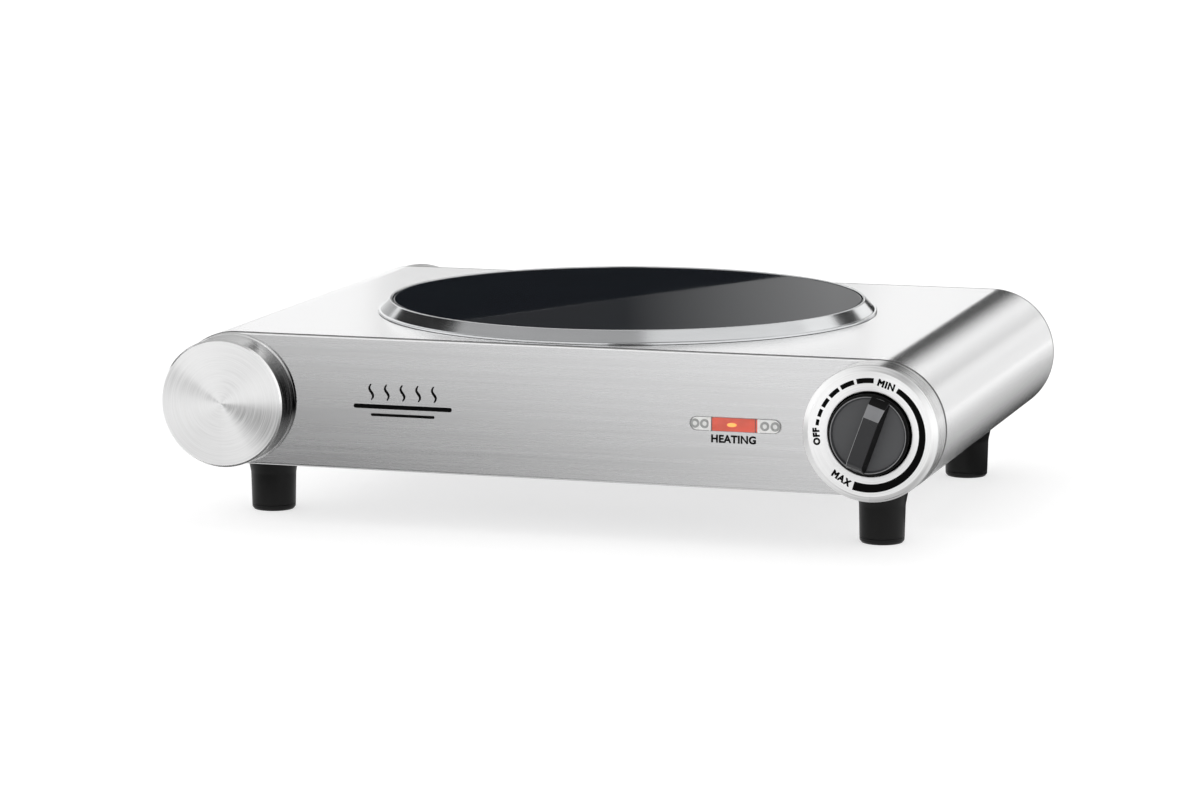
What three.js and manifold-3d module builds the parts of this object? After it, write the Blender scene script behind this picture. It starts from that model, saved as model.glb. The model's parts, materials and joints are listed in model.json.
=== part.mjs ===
// A single electric hot plate: a stainless steel casing with two round sides, a black glass-ceramic
// disc in a raised trim ring, a radiant heater under it, an energy regulator with its knob on the
// front right, an indicator lamp, and four feet. Millimetres, +Z up, the front faces -Y.

import * as THREE from "three";
import { mergeVertices } from "three/addons/utils/BufferGeometryUtils.js";
import Module from "manifold-3d";

const wasm = await Module();
wasm.setup();

// ---------------------------------------------------------------- driving dimensions

const casingRadius = 26; // the round sides, seen from the front
const casingSpan = 257; // between the axes of the two round sides
const casingDepth = 210; // front panel face to rear panel face
const footHeight = 22.4; // table to casing
const sheet = 0.8; // casing sheet
const gap = 0.3; // between pieces that touch on the real object

const halfSpan = casingSpan / 2;
const halfDepth = casingDepth / 2;
const axisHeight = footHeight + casingRadius;
const topHeight = footHeight + 2 * casingRadius;

const glassRadius = 94.5;
const glassThickness = 4;
const trimRadius = 100.5; // outer edge of the trim ring
const trimHeight = 5.2; // trim ring above the casing
const topHoleRadius = 96;

const panelThickness = 1.2;
const panelFlangeEnd = 8; // how far the panel's flange reaches into the casing
const capReach = 15.5; // round caps in front of the panel
const bezelReach = 13.5;
const bezelRadius = 25.9;
const wellRadius = 16; // the bezel's well that the knob turns in
const knobRadius = 15.4;
const knobRim = 16.4; // the knob's rim in front of the panel
const gripReach = 22.5; // the knob's grip in front of the panel
const knobWall = 1.6;
const knobRestAngle = -19.5; // degrees, the grip points to the lowest heat setting
const shaftRadius = 3;
const shaftHole = 6; // in the panel, round the sleeve of the shaft

const footX = 123.9;
const footY = 76.4;
const flangeEdge = 108; // where the casing sheet ends under the casing
const coverHalfWidth = 119;
const coverHalfDepth = 96.5;
const coverBottom = footHeight + sheet + gap;
const coverTop = coverBottom + sheet;
const coverScrewX = 113.5;
const coverScrewY = 40;
const coverScrewHole = 1.8;
const footScrewHole = 2.3;

const heaterRadius = 84;
const heaterBottom = 47.4;
const heaterTop = topHeight + 0.6;
const limiterHeight = 70;
const bridgeX = 51; // the screws of the bridge under the heater
const bridgeScrewHole = 2.2;
const bridgeTop = 42.2;

const capScrewHole = 1.9;
const glandHole = 8.1;

const indicatorX = 73.4;
const indicatorY = -1.2; // from the axis plane of the round sides
const lensLength = 36;
const lensHeight = 5.7;

const regulatorScrewY = 12.5; // the regulator's two screws, above and below its shaft
const regulatorScrewHole = 2.2;
const regulatorFront = -3.1;
const regulatorBack = -27;
const tabEnd = -38;

// The object's own origin is under the middle of its bounding box.
const originShift = (gripReach - capReach) / 2;

// ---------------------------------------------------------------- materials

const material = (color, roughness, metalness) =>
  new THREE.MeshStandardMaterial({ color, roughness, metalness });

const brushedSteel = material(0xc9cacb, 0.32, 1);
const spunSteel = material(0xd4d5d6, 0.28, 1);
const plainSteel = material(0x9b9d9f, 0.45, 1);
const screwSteel = material(0xb0b2b4, 0.35, 1);
const heaterAlloy = material(0x6f6a66, 0.5, 1);
const brass = material(0xc7a45a, 0.4, 1);
const blackGlass = material(0x0d0f12, 0.06, 0);
const clearPlastic = material(0xe8eaea, 0.08, 0);
const redPlastic = material(0xd8321c, 0.2, 0);
const lampGlass = material(0xf08a3a, 0.1, 0);
const blackGloss = material(0x1b1c1e, 0.22, 0);
const blackMatt = material(0x1c1c1c, 0.55, 0);
const phenolic = material(0x2a2522, 0.5, 0);
const whiteNylon = material(0xdcdad2, 0.5, 0);
const silicone = material(0x2c2c2e, 0.8, 0);
const insulation = material(0xd9d2c4, 0.95, 0);
const steatite = material(0xe4dfd2, 0.6, 0);
const liveSleeve = material(0x7a4a2c, 0.6, 0);
const neutralSleeve = material(0x2f4f86, 0.6, 0);
const earthSleeve = material(0x5f8f3a, 0.6, 0);

// ---------------------------------------------------------------- geometry helpers

// A closed three.js geometry as a manifold-3d solid, for booleans.
function solid(geometry) {
  const bare = geometry.index ? geometry.toNonIndexed() : geometry.clone();
  bare.deleteAttribute("normal");
  bare.deleteAttribute("uv");
  const merged = mergeVertices(bare, 1e-4);
  return new wasm.Manifold(
    new wasm.Mesh({
      numProp: 3,
      vertProperties: merged.attributes.position.array,
      triVerts: new Uint32Array(merged.index.array),
    }),
  );
}

function geometryOf(manifold) {
  const mesh = manifold.getMesh();
  const geometry = new THREE.BufferGeometry();
  geometry.setAttribute("position", new THREE.BufferAttribute(mesh.vertProperties, 3));
  geometry.setIndex(new THREE.BufferAttribute(mesh.triVerts, 1));
  geometry.computeVertexNormals();
  return geometry;
}

const cut = (body, ...tools) =>
  geometryOf(tools.reduce((left, tool) => left.subtract(solid(tool)), solid(body)));

const join = (first, ...others) =>
  geometryOf(others.reduce((sum, other) => sum.add(solid(other)), solid(first)));

// A piece turned about +Z. The profile is a list of [radius, height], anticlockwise.
const turned = (profile, segments) =>
  new THREE.LatheGeometry(
    profile.map(([radius, height]) => new THREE.Vector2(radius, height)),
    segments,
  ).rotateX(Math.PI / 2);

// A turned ring, whose profile closes on itself.
const turnedRing = (profile, segments) => turned([...profile, profile[0]], segments);

// A round bar along +Z between two heights.
const rod = (radius, low, high, segments = 16) =>
  turned([[0, low], [radius, low], [radius, high], [0, high]], segments);

// A shape in XY, extruded along +Z between two heights.
const prism = (shape, low, high, curveSegments = 8) =>
  new THREE.ExtrudeGeometry(shape, {
    depth: high - low,
    bevelEnabled: false,
    curveSegments,
  }).translate(0, 0, low);

const block = (x0, x1, y0, y1, z0, z1) =>
  new THREE.BoxGeometry(x1 - x0, y1 - y0, z1 - z0).translate(
    (x0 + x1) / 2,
    (y0 + y1) / 2,
    (z0 + z1) / 2,
  );

const polygon = (points) => new THREE.Shape(points.map(([x, y]) => new THREE.Vector2(x, y)));

// Two half circles joined by straight lines along X: the casing's outline, and every slot.
function stadium(half, radius, PathClass = THREE.Shape, x = 0, y = 0) {
  const path = new PathClass();
  path.moveTo(x - half, y - radius);
  path.lineTo(x + half, y - radius);
  path.absarc(x + half, y, radius, -Math.PI / 2, Math.PI / 2, false);
  path.lineTo(x - half, y + radius);
  path.absarc(x - half, y, radius, Math.PI / 2, (3 * Math.PI) / 2, false);
  return path;
}

function ringShape(outer, inner) {
  outer.holes.push(inner);
  return outer;
}

// A lead: a six-sided tube along a smooth curve through hand-chosen points.
function lead(points) {
  const leadRadius = 1.3;
  const section = new THREE.Shape();
  section.absarc(0, 0, leadRadius, 0, 2 * Math.PI, false);
  return new THREE.ExtrudeGeometry(section, {
    steps: 3 * (points.length - 1),
    curveSegments: 3,
    extrudePath: new THREE.CatmullRomCurve3(
      points.map(([x, y, z]) => new THREE.Vector3(x, y, z)),
    ),
  });
}

// ---------------------------------------------------------------- scene helpers

const hotPlate = new THREE.Group();
hotPlate.position.set(0, originShift, 0);

function add(group, name, geometry, finish, x = 0, y = 0, z = 0) {
  const mesh = new THREE.Mesh(geometry, finish);
  mesh.name = name;
  mesh.position.set(x, y, z);
  group.add(mesh);
  return mesh;
}

// The two ends of the casing share one local frame: X across, Y up from the axis plane of the
// round sides, and Z outwards from the panel's outer face. The rear one is turned half round.
const front = new THREE.Group();
front.position.set(0, -halfDepth, axisHeight);
front.rotation.set(Math.PI / 2, 0, 0);
const rear = new THREE.Group();
rear.position.set(0, halfDepth, axisHeight);
rear.rotation.set(Math.PI / 2, 0, Math.PI, "ZYX");
hotPlate.add(front, rear);

const sides = { left: -1, right: 1 };
const ends = { front: -1, rear: 1 };

// ---------------------------------------------------------------- casing

// One sheet wrapped over the top and round both sides, open between its two lower flanges.
function bodyShell() {
  const half = halfDepth - panelThickness - 0.2;
  const wrap = prism(
    ringShape(
      stadium(halfSpan, casingRadius),
      stadium(halfSpan, casingRadius - sheet, THREE.Path),
    ),
    -half,
    half,
    8,
  )
    .rotateX(Math.PI / 2)
    .translate(0, 0, axisHeight);
  const opening = block(-flangeEdge, flangeEdge, -half - 1, half + 1, footHeight - 1, footHeight + 4);
  const topHole = rod(topHoleRadius, topHeight - 4, topHeight + 2, 48);
  const holes = [];
  for (const x of [-1, 1]) {
    for (const y of [-1, 1]) {
      const foot = rod(footScrewHole, footHeight - 1, footHeight + 4, 8);
      const cover = rod(coverScrewHole, footHeight - 1, footHeight + 4, 8);
      holes.push(foot.translate(x * footX, y * footY, 0));
      holes.push(cover.translate(x * coverScrewX, y * coverScrewY, 0));
    }
  }
  return cut(wrap, opening, topHole, ...holes);
}

// A pressed end panel: a face with a rounded edge and a flange that goes inside the casing sheet.
function endPanel(holes) {
  const edge = 0.5;
  const face = new THREE.ExtrudeGeometry(stadium(halfSpan, casingRadius - edge), {
    depth: panelThickness - 2 * edge,
    bevelThickness: edge,
    bevelSize: edge,
    bevelSegments: 1,
    curveSegments: 8,
  }).translate(0, 0, edge - panelThickness);
  const flangeRadius = casingRadius - sheet - 0.4;
  const flange = prism(
    ringShape(
      stadium(halfSpan, flangeRadius),
      stadium(halfSpan, flangeRadius - sheet, THREE.Path),
    ),
    -panelFlangeEnd,
    -panelThickness / 2,
    8,
  );
  return cut(join(face, flange), ...holes);
}

const panelHole = (radius, x, y) => rod(radius, -3, 2, 12).translate(x, y, 0);

// The plate that closes the casing from below, with two banks of cooling slots.
function bottomCover() {
  const slotHalfLength = 15;
  const slotRadius = 2.6;
  const slotPitch = 18;
  const slotCount = 6;
  const bankY = 50;
  const outline = polygon([
    [-coverHalfWidth, -coverHalfDepth],
    [coverHalfWidth, -coverHalfDepth],
    [coverHalfWidth, coverHalfDepth],
    [-coverHalfWidth, coverHalfDepth],
  ]);
  for (let i = 0; i < slotCount; i++) {
    for (const bank of [-1, 1]) {
      const x = (i - (slotCount - 1) / 2) * slotPitch;
      const slot = stadium(slotHalfLength, slotRadius, THREE.Path, bank * bankY, x);
      const turnedSlot = slot.getPoints(2).map((p) => new THREE.Vector2(p.y, p.x));
      outline.holes.push(new THREE.Path(turnedSlot));
    }
  }
  const holes = [];
  for (const x of [-1, 1]) {
    holes.push(rod(bridgeScrewHole, -1, 2, 8).translate(x * bridgeX, 0, 0));
    for (const y of [-1, 1]) {
      holes.push(rod(coverScrewHole, -1, 2, 8).translate(x * coverScrewX, y * coverScrewY, 0));
    }
  }
  return cut(prism(outline, 0, sheet), ...holes);
}

add(hotPlate, "body_shell", bodyShell(), brushedSteel);
add(hotPlate, "bottom_cover", bottomCover(), plainSteel, 0, 0, coverBottom);

const lensHole = prism(
  stadium((lensLength - lensHeight) / 2, lensHeight / 2 + 0.2),
  -3,
  2,
  4,
).translate(indicatorX, indicatorY, 0);
add(
  front,
  "front_panel",
  endPanel([
    panelHole(capScrewHole, -halfSpan, 0),
    panelHole(shaftHole, halfSpan, 0),
    panelHole(regulatorScrewHole, halfSpan, regulatorScrewY),
    panelHole(regulatorScrewHole, halfSpan, -regulatorScrewY),
    lensHole,
  ]),
  brushedSteel,
);
add(
  rear,
  "rear_panel",
  endPanel([panelHole(capScrewHole, halfSpan, 0), panelHole(glandHole, -halfSpan, 0)]),
  brushedSteel,
);

// ---------------------------------------------------------------- round caps

// A hollow turned cap with a foot flange and a middle boss for its screw.
const roundCap = () =>
  turned(
    [
      [0, 9],
      [1.7, 9],
      [1.7, 0.5],
      [4, 0.5],
      [4, capReach - 1.2],
      [23.9, capReach - 1.2],
      [23.9, gap],
      [25.6, gap],
      [25.6, 2.2],
      [25.05, 2.6],
      [25.05, capReach - 0.8],
      [24.3, capReach],
      [0, capReach],
    ],
    28,
  );

// A pan-head screw along +Z with its head at the low end, from z = 0 under the head.
const panScrew = (headRadius, headHeight, shankRadius, shankLength) =>
  turned(
    [
      [0, -headHeight],
      [headRadius * 0.7, -headHeight],
      [headRadius, -headHeight * 0.45],
      [headRadius, 0],
      [shankRadius, 0],
      [shankRadius, shankLength],
      [0, shankLength],
    ],
    8,
  );

add(front, "front_left_cap", roundCap(), spunSteel, -halfSpan, 0, 0);
add(rear, "rear_left_cap", roundCap(), spunSteel, halfSpan, 0, 0);
const capScrewSeat = -panelThickness - gap;
const capScrew = () => panScrew(3.4, 2.1, 1.4, 9.4);
add(front, "front_left_cap_screw", capScrew(), screwSteel, -halfSpan, 0, capScrewSeat);
add(rear, "rear_left_cap_screw", capScrew(), screwSteel, halfSpan, 0, capScrewSeat);

// ---------------------------------------------------------------- cord outlet, rear right

const cordX = -halfSpan; // in the rear frame, which is turned half round

const cordCover = turnedRing(
  [[8.2, gap], [22.8, gap], [23.6, 0.9], [23, 2.2], [20.5, 2.6], [8.2, 2.6]],
  24,
);
const cordGland = turnedRing(
  [
    [3.8, -9],
    [7.7, -9],
    [7.7, 2.9],
    [10.5, 2.9],
    [10.5, 4.4],
    [9.6, 5.3],
    [7.6, 5.5],
    [6.3, 13.2],
    [3.8, 13.2],
  ],
  16,
);

function glandNut() {
  const corners = [];
  for (let i = 0; i < 6; i++) {
    const angle = (i * Math.PI) / 3;
    corners.push([12 * Math.cos(angle), 12 * Math.sin(angle)]);
  }
  const bore = new THREE.Path();
  bore.absarc(0, 0, 8, 0, 2 * Math.PI, true);
  return prism(ringShape(polygon(corners), bore), -7.5, -1.6, 10);
}

add(rear, "cord_cover", cordCover, brushedSteel, cordX, 0, 0);
add(rear, "cord_gland", cordGland, blackMatt, cordX, 0, 0);
add(rear, "gland_nut", glandNut(), blackMatt, cordX, 0, 0);

// ---------------------------------------------------------------- dial, knob and regulator

const dial = new THREE.Group();
dial.position.set(halfSpan, 0, 0);
front.add(dial);

// The pressed dial bezel: a flat ring for the scale round a well whose floor meets the panel.
function dialBezel() {
  const skin = 1.1;
  const cup = turnedRing(
    [
      [5.6, 0.2],
      [wellRadius + skin, 0.2],
      [wellRadius + skin, bezelReach - skin],
      [23, bezelReach - skin],
      [bezelRadius - skin, bezelReach - 2.8],
      [bezelRadius - skin, 0.2],
      [bezelRadius, 0.2],
      [bezelRadius, bezelReach - 2.4],
      [bezelRadius - 0.7, bezelReach - 0.8],
      [bezelRadius - 2.1, bezelReach],
      [wellRadius, bezelReach],
      [wellRadius, 0.2 + skin],
      [5.6, 0.2 + skin],
    ],
    32,
  );
  const hole = (y) => rod(regulatorScrewHole, -1, 3, 12).translate(0, y, 0);
  return cut(cup, hole(regulatorScrewY), hole(-regulatorScrewY));
}

// A bar across the knob, from rim to rim, stepped down at the end that points to the scale.
function gripBar() {
  const gripWidth = 7;
  const gripHalf = knobRadius - 0.9;
  const side = polygon([
    [-gripHalf, knobRim - 3],
    [gripHalf, knobRim - 3],
    [gripHalf, knobRim + 0.2],
    [gripHalf - 2.2, knobRim + 2.4],
    [6.9, gripReach],
    [1.8 - gripHalf, gripReach - 0.2],
    [0.8 - gripHalf, gripReach - 1.3],
    [-gripHalf, knobRim + 0.2],
  ]);
  const standing = new THREE.Matrix4().makeBasis(
    new THREE.Vector3(0, 1, 0),
    new THREE.Vector3(0, 0, 1),
    new THREE.Vector3(1, 0, 0),
  );
  return prism(side, -gripWidth / 2, gripWidth / 2).applyMatrix4(standing);
}

// A round bar with a flat on its +Y side.
function flattedRod(radius, flatY, low, high) {
  const round = rod(radius, low, high, 16);
  return cut(round, block(-radius - 1, radius + 1, flatY, radius + 2, low - 1, high + 1));
}

function knob() {
  const shell = turned(
    [
      [0, 4.6],
      [6, 4.6],
      [6, knobRim - 4],
      [knobRadius - knobWall, knobRim - 4],
      [knobRadius - knobWall, 4.2],
      [knobRadius, 4.2],
      [knobRadius, knobRim - 0.8],
      [knobRadius - 0.6, knobRim],
      [knobRadius - 1.2, knobRim - 0.1],
      [knobRadius - 1.8, knobRim - 1.8],
      [0, knobRim - 2.2],
    ],
    32,
  );
  return cut(join(shell, gripBar()), flattedRod(shaftRadius + 0.25, 2.7, 3, 11.6));
}

// The regulator's shaft: a rear pin, a cam inside the regulator, and a flatted end in the knob.
function regulatorShaft() {
  const blank = turned(
    [
      [0, -19],
      [1.9, -19],
      [1.9, -12.4],
      [8.5, -12.4],
      [8.5, -7.6],
      [4.4, -7.6],
      [4.4, -4.6],
      [shaftRadius, -4.6],
      [shaftRadius, 11.2],
      [0, 11.2],
    ],
    16,
  );
  const camFlat = block(-9, 9, -9, -5.5, -13, -7);
  const shaftFlat = block(-4, 4, 2.1, 4, 3.6, 12);
  return cut(blank, camFlat, shaftFlat);
}

const rotor = new THREE.Group();
rotor.rotation.set(0, 0, THREE.MathUtils.degToRad(knobRestAngle));
dial.add(rotor);

add(dial, "dial_bezel", dialBezel(), brushedSteel);
add(rotor, "knob", knob(), blackGloss);
add(rotor, "regulator_shaft", regulatorShaft(), screwSteel);
add(rotor, "knob_spring_clip", block(-1.7, 1.7, 2.25, 2.55, 5, 10.8), brass);

const plateHalfWidth = 13;
const plateHalfHeight = 18;
const bodyHalfHeight = 17;

function regulatorBracket() {
  const plate = block(
    -plateHalfWidth,
    plateHalfWidth,
    -plateHalfHeight,
    plateHalfHeight,
    -2.8,
    -1.6,
  );
  const sleeve = rod(5, -2, 3, 16);
  const hole = (y) => rod(regulatorScrewHole, -4, 0, 12).translate(0, y, 0);
  return cut(
    join(plate, sleeve),
    rod(3.4, -4, 4, 16),
    hole(regulatorScrewY),
    hole(-regulatorScrewY),
  );
}

function regulatorBody() {
  const housing = block(
    -plateHalfWidth,
    plateHalfWidth,
    -bodyHalfHeight,
    bodyHalfHeight,
    regulatorBack,
    regulatorFront,
  );
  const hole = (y) => rod(regulatorScrewHole, -11, 0, 12).translate(0, y, 0);
  return cut(
    housing,
    rod(9.4, -13, 0, 24),
    rod(2.4, -20, -12, 16),
    hole(regulatorScrewY),
    hole(-regulatorScrewY),
  );
}

add(dial, "regulator_bracket", regulatorBracket(), plainSteel);
add(dial, "regulator_body", regulatorBody(), phenolic);
add(
  dial,
  "regulator_cover",
  block(
    -plateHalfWidth,
    plateHalfWidth,
    -bodyHalfHeight,
    bodyHalfHeight,
    regulatorBack - 2.3,
    regulatorBack - gap,
  ),
  phenolic,
);

const tabX = { line: -8, load: 0, lamp: 8 };
const tabY = -6;
for (const [use, x] of Object.entries(tabX)) {
  const tab = block(-0.4, 0.4, -3.1, 3.1, tabEnd, regulatorBack - 2.3 - gap);
  add(dial, "regulator_tab_" + use, tab, brass, x, tabY, 0);
}

// These screws sit in the bezel's well, under the knob, and hold bezel, panel and regulator.
const regulatorScrew = () => panScrew(3.3, 2, 1.8, 11.2).rotateX(Math.PI);
add(dial, "regulator_screw_upper", regulatorScrew(), screwSteel, 0, regulatorScrewY, 1.6);
add(dial, "regulator_screw_lower", regulatorScrew(), screwSteel, 0, -regulatorScrewY, 1.6);

// ---------------------------------------------------------------- indicator lamp

const indicator = new THREE.Group();
indicator.position.set(indicatorX, indicatorY, 0);
front.add(indicator);

const windowHalfLength = 8.9;
const windowHalfHeight = 2.4;

function indicatorLens() {
  const bevel = 0.5;
  const pill = new THREE.ExtrudeGeometry(
    stadium((lensLength - lensHeight) / 2, lensHeight / 2 - bevel),
    {
      depth: 4,
      bevelThickness: bevel,
      bevelSize: bevel,
      bevelSegments: 1,
      curveSegments: 4,
    },
  ).translate(0, 0, -3.5);
  const pocket = block(
    -windowHalfLength - 0.1,
    windowHalfLength + 0.1,
    -windowHalfHeight - 0.1,
    windowHalfHeight + 0.1,
    -5,
    0.5,
  );
  return cut(pill, pocket);
}

// A moulded holder behind the panel, which keeps the lens and the neon lamp behind it.
function indicatorHolder() {
  const box = block(-21, 21, -5.5, 5.5, -13, -1.5);
  const cavity = block(-18.3, 18.3, -3.2, 3.2, -11.5, 0);
  const leadHole = (x) => rod(1.6, -14, -10, 10).translate(x, 0, 0);
  return cut(box, cavity, leadHole(-6), leadHole(6));
}

add(indicator, "indicator_lens", indicatorLens(), clearPlastic);
add(
  indicator,
  "indicator_window",
  block(
    -windowHalfLength,
    windowHalfLength,
    -windowHalfHeight,
    windowHalfHeight,
    -4,
    0.3,
  ),
  redPlastic,
);
const neonLamp = turned([[0, -9], [1.4, -8.4], [2.3, -6.8], [2.3, 8], [0, 8]], 12);
add(indicator, "neon_lamp", neonLamp.rotateY(Math.PI / 2), lampGlass, 0, 0, -7.5);
add(indicator, "indicator_holder", indicatorHolder(), whiteNylon);

// ---------------------------------------------------------------- glass and trim ring

const trimRing = turnedRing(
  [
    [88, -1.4],
    [95.5, -1.4],
    [95.5, 3.9],
    [99.2, 0.2],
    [trimRadius, 0.2],
    [trimRadius, 0.8],
    [99.5, 1.1],
    [95.8, trimHeight - 0.4],
    [95.3, trimHeight],
    [94.8, trimHeight - 0.2],
    [94.8, -0.6],
    [88, -0.6],
  ],
  48,
);
const glassTop = trimHeight - 0.3;
const glassPlate = turned(
  [
    [0, glassTop - glassThickness],
    [glassRadius, glassTop - glassThickness],
    [glassRadius, glassTop - 0.6],
    [glassRadius - 0.6, glassTop],
    [0, glassTop],
  ],
  48,
);
const gasket = turnedRing([[88.5, -0.4], [94.2, -0.4], [94.2, 0.7], [88.5, 0.7]], 32);

add(hotPlate, "trim_ring", trimRing, brushedSteel, 0, 0, topHeight);
add(hotPlate, "glass_plate", glassPlate, blackGlass, 0, 0, topHeight);
add(hotPlate, "glass_gasket", gasket, silicone, 0, 0, topHeight);

// ---------------------------------------------------------------- radiant heater

const limiterHole = (radius) =>
  rod(radius, 60, 110, 12).rotateY(Math.PI / 2).translate(0, 0, limiterHeight);

const heaterPan = cut(
  turned(
    [
      [0, heaterBottom],
      [heaterRadius, heaterBottom],
      [heaterRadius, heaterTop],
      [heaterRadius - sheet, heaterTop],
      [heaterRadius - sheet, heaterBottom + sheet],
      [0, heaterBottom + sheet],
    ],
    32,
  ),
  limiterHole(2.5),
);
const baseTop = heaterBottom + 11.5;
const wallInner = 72;
const insulationRadius = heaterRadius - 1.6;
const heaterBase = turned(
  [
    [0, heaterBottom + sheet + gap],
    [insulationRadius, heaterBottom + sheet + gap],
    [insulationRadius, baseTop],
    [0, baseTop],
  ],
  28,
);
const heaterWall = cut(
  turnedRing(
    [
      [wallInner, baseTop + gap],
      [insulationRadius, baseTop + gap],
      [insulationRadius, heaterTop],
      [wallInner, heaterTop],
    ],
    28,
  ),
  limiterHole(2.5),
);

// The ribbon stands on edge on the base, in one spiral from the middle to the wall.
function heatingRibbon() {
  const turns = 5;
  const steps = 14 * turns;
  const innerRadius = 14;
  const outerRadius = 67;
  const ribbonThickness = 0.9;
  const ribbonHeight = 4;
  const outline = [];
  for (const side of [1, -1]) {
    for (let i = 0; i <= steps; i++) {
      const along = side > 0 ? i / steps : 1 - i / steps;
      const angle = 2 * Math.PI * turns * along;
      const radius =
        innerRadius + (outerRadius - innerRadius) * along + (side * ribbonThickness) / 2;
      outline.push([radius * Math.cos(angle), radius * Math.sin(angle)]);
    }
  }
  return prism(polygon(outline), baseTop + gap, baseTop + gap + ribbonHeight);
}

const limiterHead = block(heaterRadius + 0.8, 104, -9, 9, 61, 72.4);
const limiterSocket = rod(2.3, 80, 92, 12).rotateY(Math.PI / 2).translate(0, 0, limiterHeight);
const limiterRod = rod(1.8, -68, 91, 12).rotateY(Math.PI / 2).translate(0, 0, limiterHeight);

add(hotPlate, "heater_pan", heaterPan, plainSteel);
add(hotPlate, "heater_base", heaterBase, insulation);
add(hotPlate, "heater_wall", heaterWall, insulation);
add(hotPlate, "heating_ribbon", heatingRibbon(), heaterAlloy);
add(hotPlate, "limiter_rod", limiterRod, screwSteel);
add(hotPlate, "limiter_head", cut(limiterHead, limiterSocket), steatite);

// ---------------------------------------------------------------- heater bridge and spring

const bridgeFoot = coverTop + 0.2;
const bridgeSheet = 1.2;
const bridgeLeg = 45;
const bridgeToe = 57;

// A piece bent from strip: its side view in X and Z, extruded across Y.
const bentStrip = (points, halfWidth) =>
  prism(polygon(points), -halfWidth, halfWidth).rotateX(Math.PI / 2);

function heaterBridge() {
  const inner = bridgeLeg - bridgeSheet;
  const hat = bentStrip(
    [
      [-bridgeToe, bridgeFoot],
      [-inner, bridgeFoot],
      [-inner, bridgeTop - bridgeSheet],
      [inner, bridgeTop - bridgeSheet],
      [inner, bridgeFoot],
      [bridgeToe, bridgeFoot],
      [bridgeToe, bridgeFoot + bridgeSheet],
      [bridgeLeg, bridgeFoot + bridgeSheet],
      [bridgeLeg, bridgeTop],
      [-bridgeLeg, bridgeTop],
      [-bridgeLeg, bridgeFoot + bridgeSheet],
      [-bridgeToe, bridgeFoot + bridgeSheet],
    ],
    12,
  );
  const hole = (x) =>
    rod(bridgeScrewHole, coverTop - 1, coverTop + 4, 10).translate(x, 0, 0);
  return cut(hat, hole(bridgeX), hole(-bridgeX));
}

// A bowed leaf spring on the bridge, which presses the heater up against the glass.
function heaterSpring() {
  const halfLength = 38;
  const bow = heaterBottom - gap - 0.8 - (bridgeTop + gap);
  const steps = 8;
  const points = [];
  for (const top of [false, true]) {
    for (let i = 0; i <= steps; i++) {
      const t = top ? 1 - (2 * i) / steps : -1 + (2 * i) / steps;
      const height = bridgeTop + gap + bow * (1 - t * t) + (top ? 0.8 : 0);
      points.push([halfLength * t, height]);
    }
  }
  return bentStrip(points, 9);
}

add(hotPlate, "heater_bridge", heaterBridge(), plainSteel);
add(hotPlate, "heater_spring", heaterSpring(), screwSteel);
for (const [side, x] of Object.entries(sides)) {
  const screw = panScrew(3.4, 1.9, 1.8, 6.5);
  add(hotPlate, "bridge_screw_" + side, screw, screwSteel, x * bridgeX, 0, coverBottom - 0.2);
}

// ---------------------------------------------------------------- wiring

const blockLow = coverTop + gap;
const wayX = [84, 91, 98, 105]; // the terminal block's ways: live, neutral, earth, lamp
const wayHeight = 33;
const blockFront = 56;

function terminalBlock() {
  const body = block(79, 110, blockFront, blockFront + 18, blockLow, blockLow + 15);
  const ways = wayX.map((x) =>
    rod(1.9, blockFront - 1, blockFront + 19, 8)
      .rotateX(-Math.PI / 2)
      .translate(x, 0, wayHeight),
  );
  return cut(body, ...ways);
}

const tabLeadY = -halfDepth - tabEnd + gap;
const tabLeadZ = axisHeight + tabY;
const blockLeadY = blockFront - gap;
const lampLeadY = -halfDepth + 13 + gap;
const lampLeadZ = axisHeight + indicatorY;
const headFace = 104 + gap;

const leads = {
  live_lead: {
    finish: liveSleeve,
    route: [
      [wayX[0], blockLeadY, wayHeight],
      [88, 44, 33],
      [108, 14, 33],
      [119, -28, 36],
      [halfSpan + tabX.line, -50, 40],
      [halfSpan + tabX.line, -60, tabLeadZ],
      [halfSpan + tabX.line, tabLeadY, tabLeadZ],
    ],
  },
  neutral_lead: {
    finish: neutralSleeve,
    route: [
      [wayX[1], blockLeadY, wayHeight],
      [95, 45, 38],
      [108, 28, 50],
      [113, 12, 63],
      [109, 5, 66.4],
      [headFace, 4, 66.4],
    ],
  },
  switched_lead: {
    finish: liveSleeve,
    route: [
      [halfSpan + tabX.load, tabLeadY, tabLeadZ],
      [halfSpan + tabX.load, -60, tabLeadZ],
      [halfSpan + tabX.load, -50, 45],
      [123, -28, 56],
      [114, -8, 65],
      [109, -5, 66.4],
      [headFace, -4, 66.4],
    ],
  },
  earth_lead: {
    finish: earthSleeve,
    route: [
      [wayX[2], blockLeadY, wayHeight],
      [98.5, 50, 32],
      [99, 42, 28.5],
      [99, 37, 27.5],
    ],
  },
  lamp_live_lead: {
    finish: liveSleeve,
    route: [
      [indicatorX - 6, lampLeadY, lampLeadZ],
      [indicatorX - 5, -87, 42],
      [84, -85, 32],
      [106, -78, 29],
      [125, -66, 29],
      [134, -55, 33],
      [halfSpan + tabX.lamp, -56, 41],
      [halfSpan + tabX.lamp, -60, tabLeadZ],
      [halfSpan + tabX.lamp, tabLeadY, tabLeadZ],
    ],
  },
  lamp_neutral_lead: {
    finish: neutralSleeve,
    route: [
      [indicatorX + 6, lampLeadY, lampLeadZ],
      [83, -86, 49],
      [98, -70, 50],
      [106, -40, 49],
      [107, 0, 47],
      [108, 30, 37],
      [wayX[3], 48, wayHeight],
      [wayX[3], blockLeadY, wayHeight],
    ],
  },
};

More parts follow.
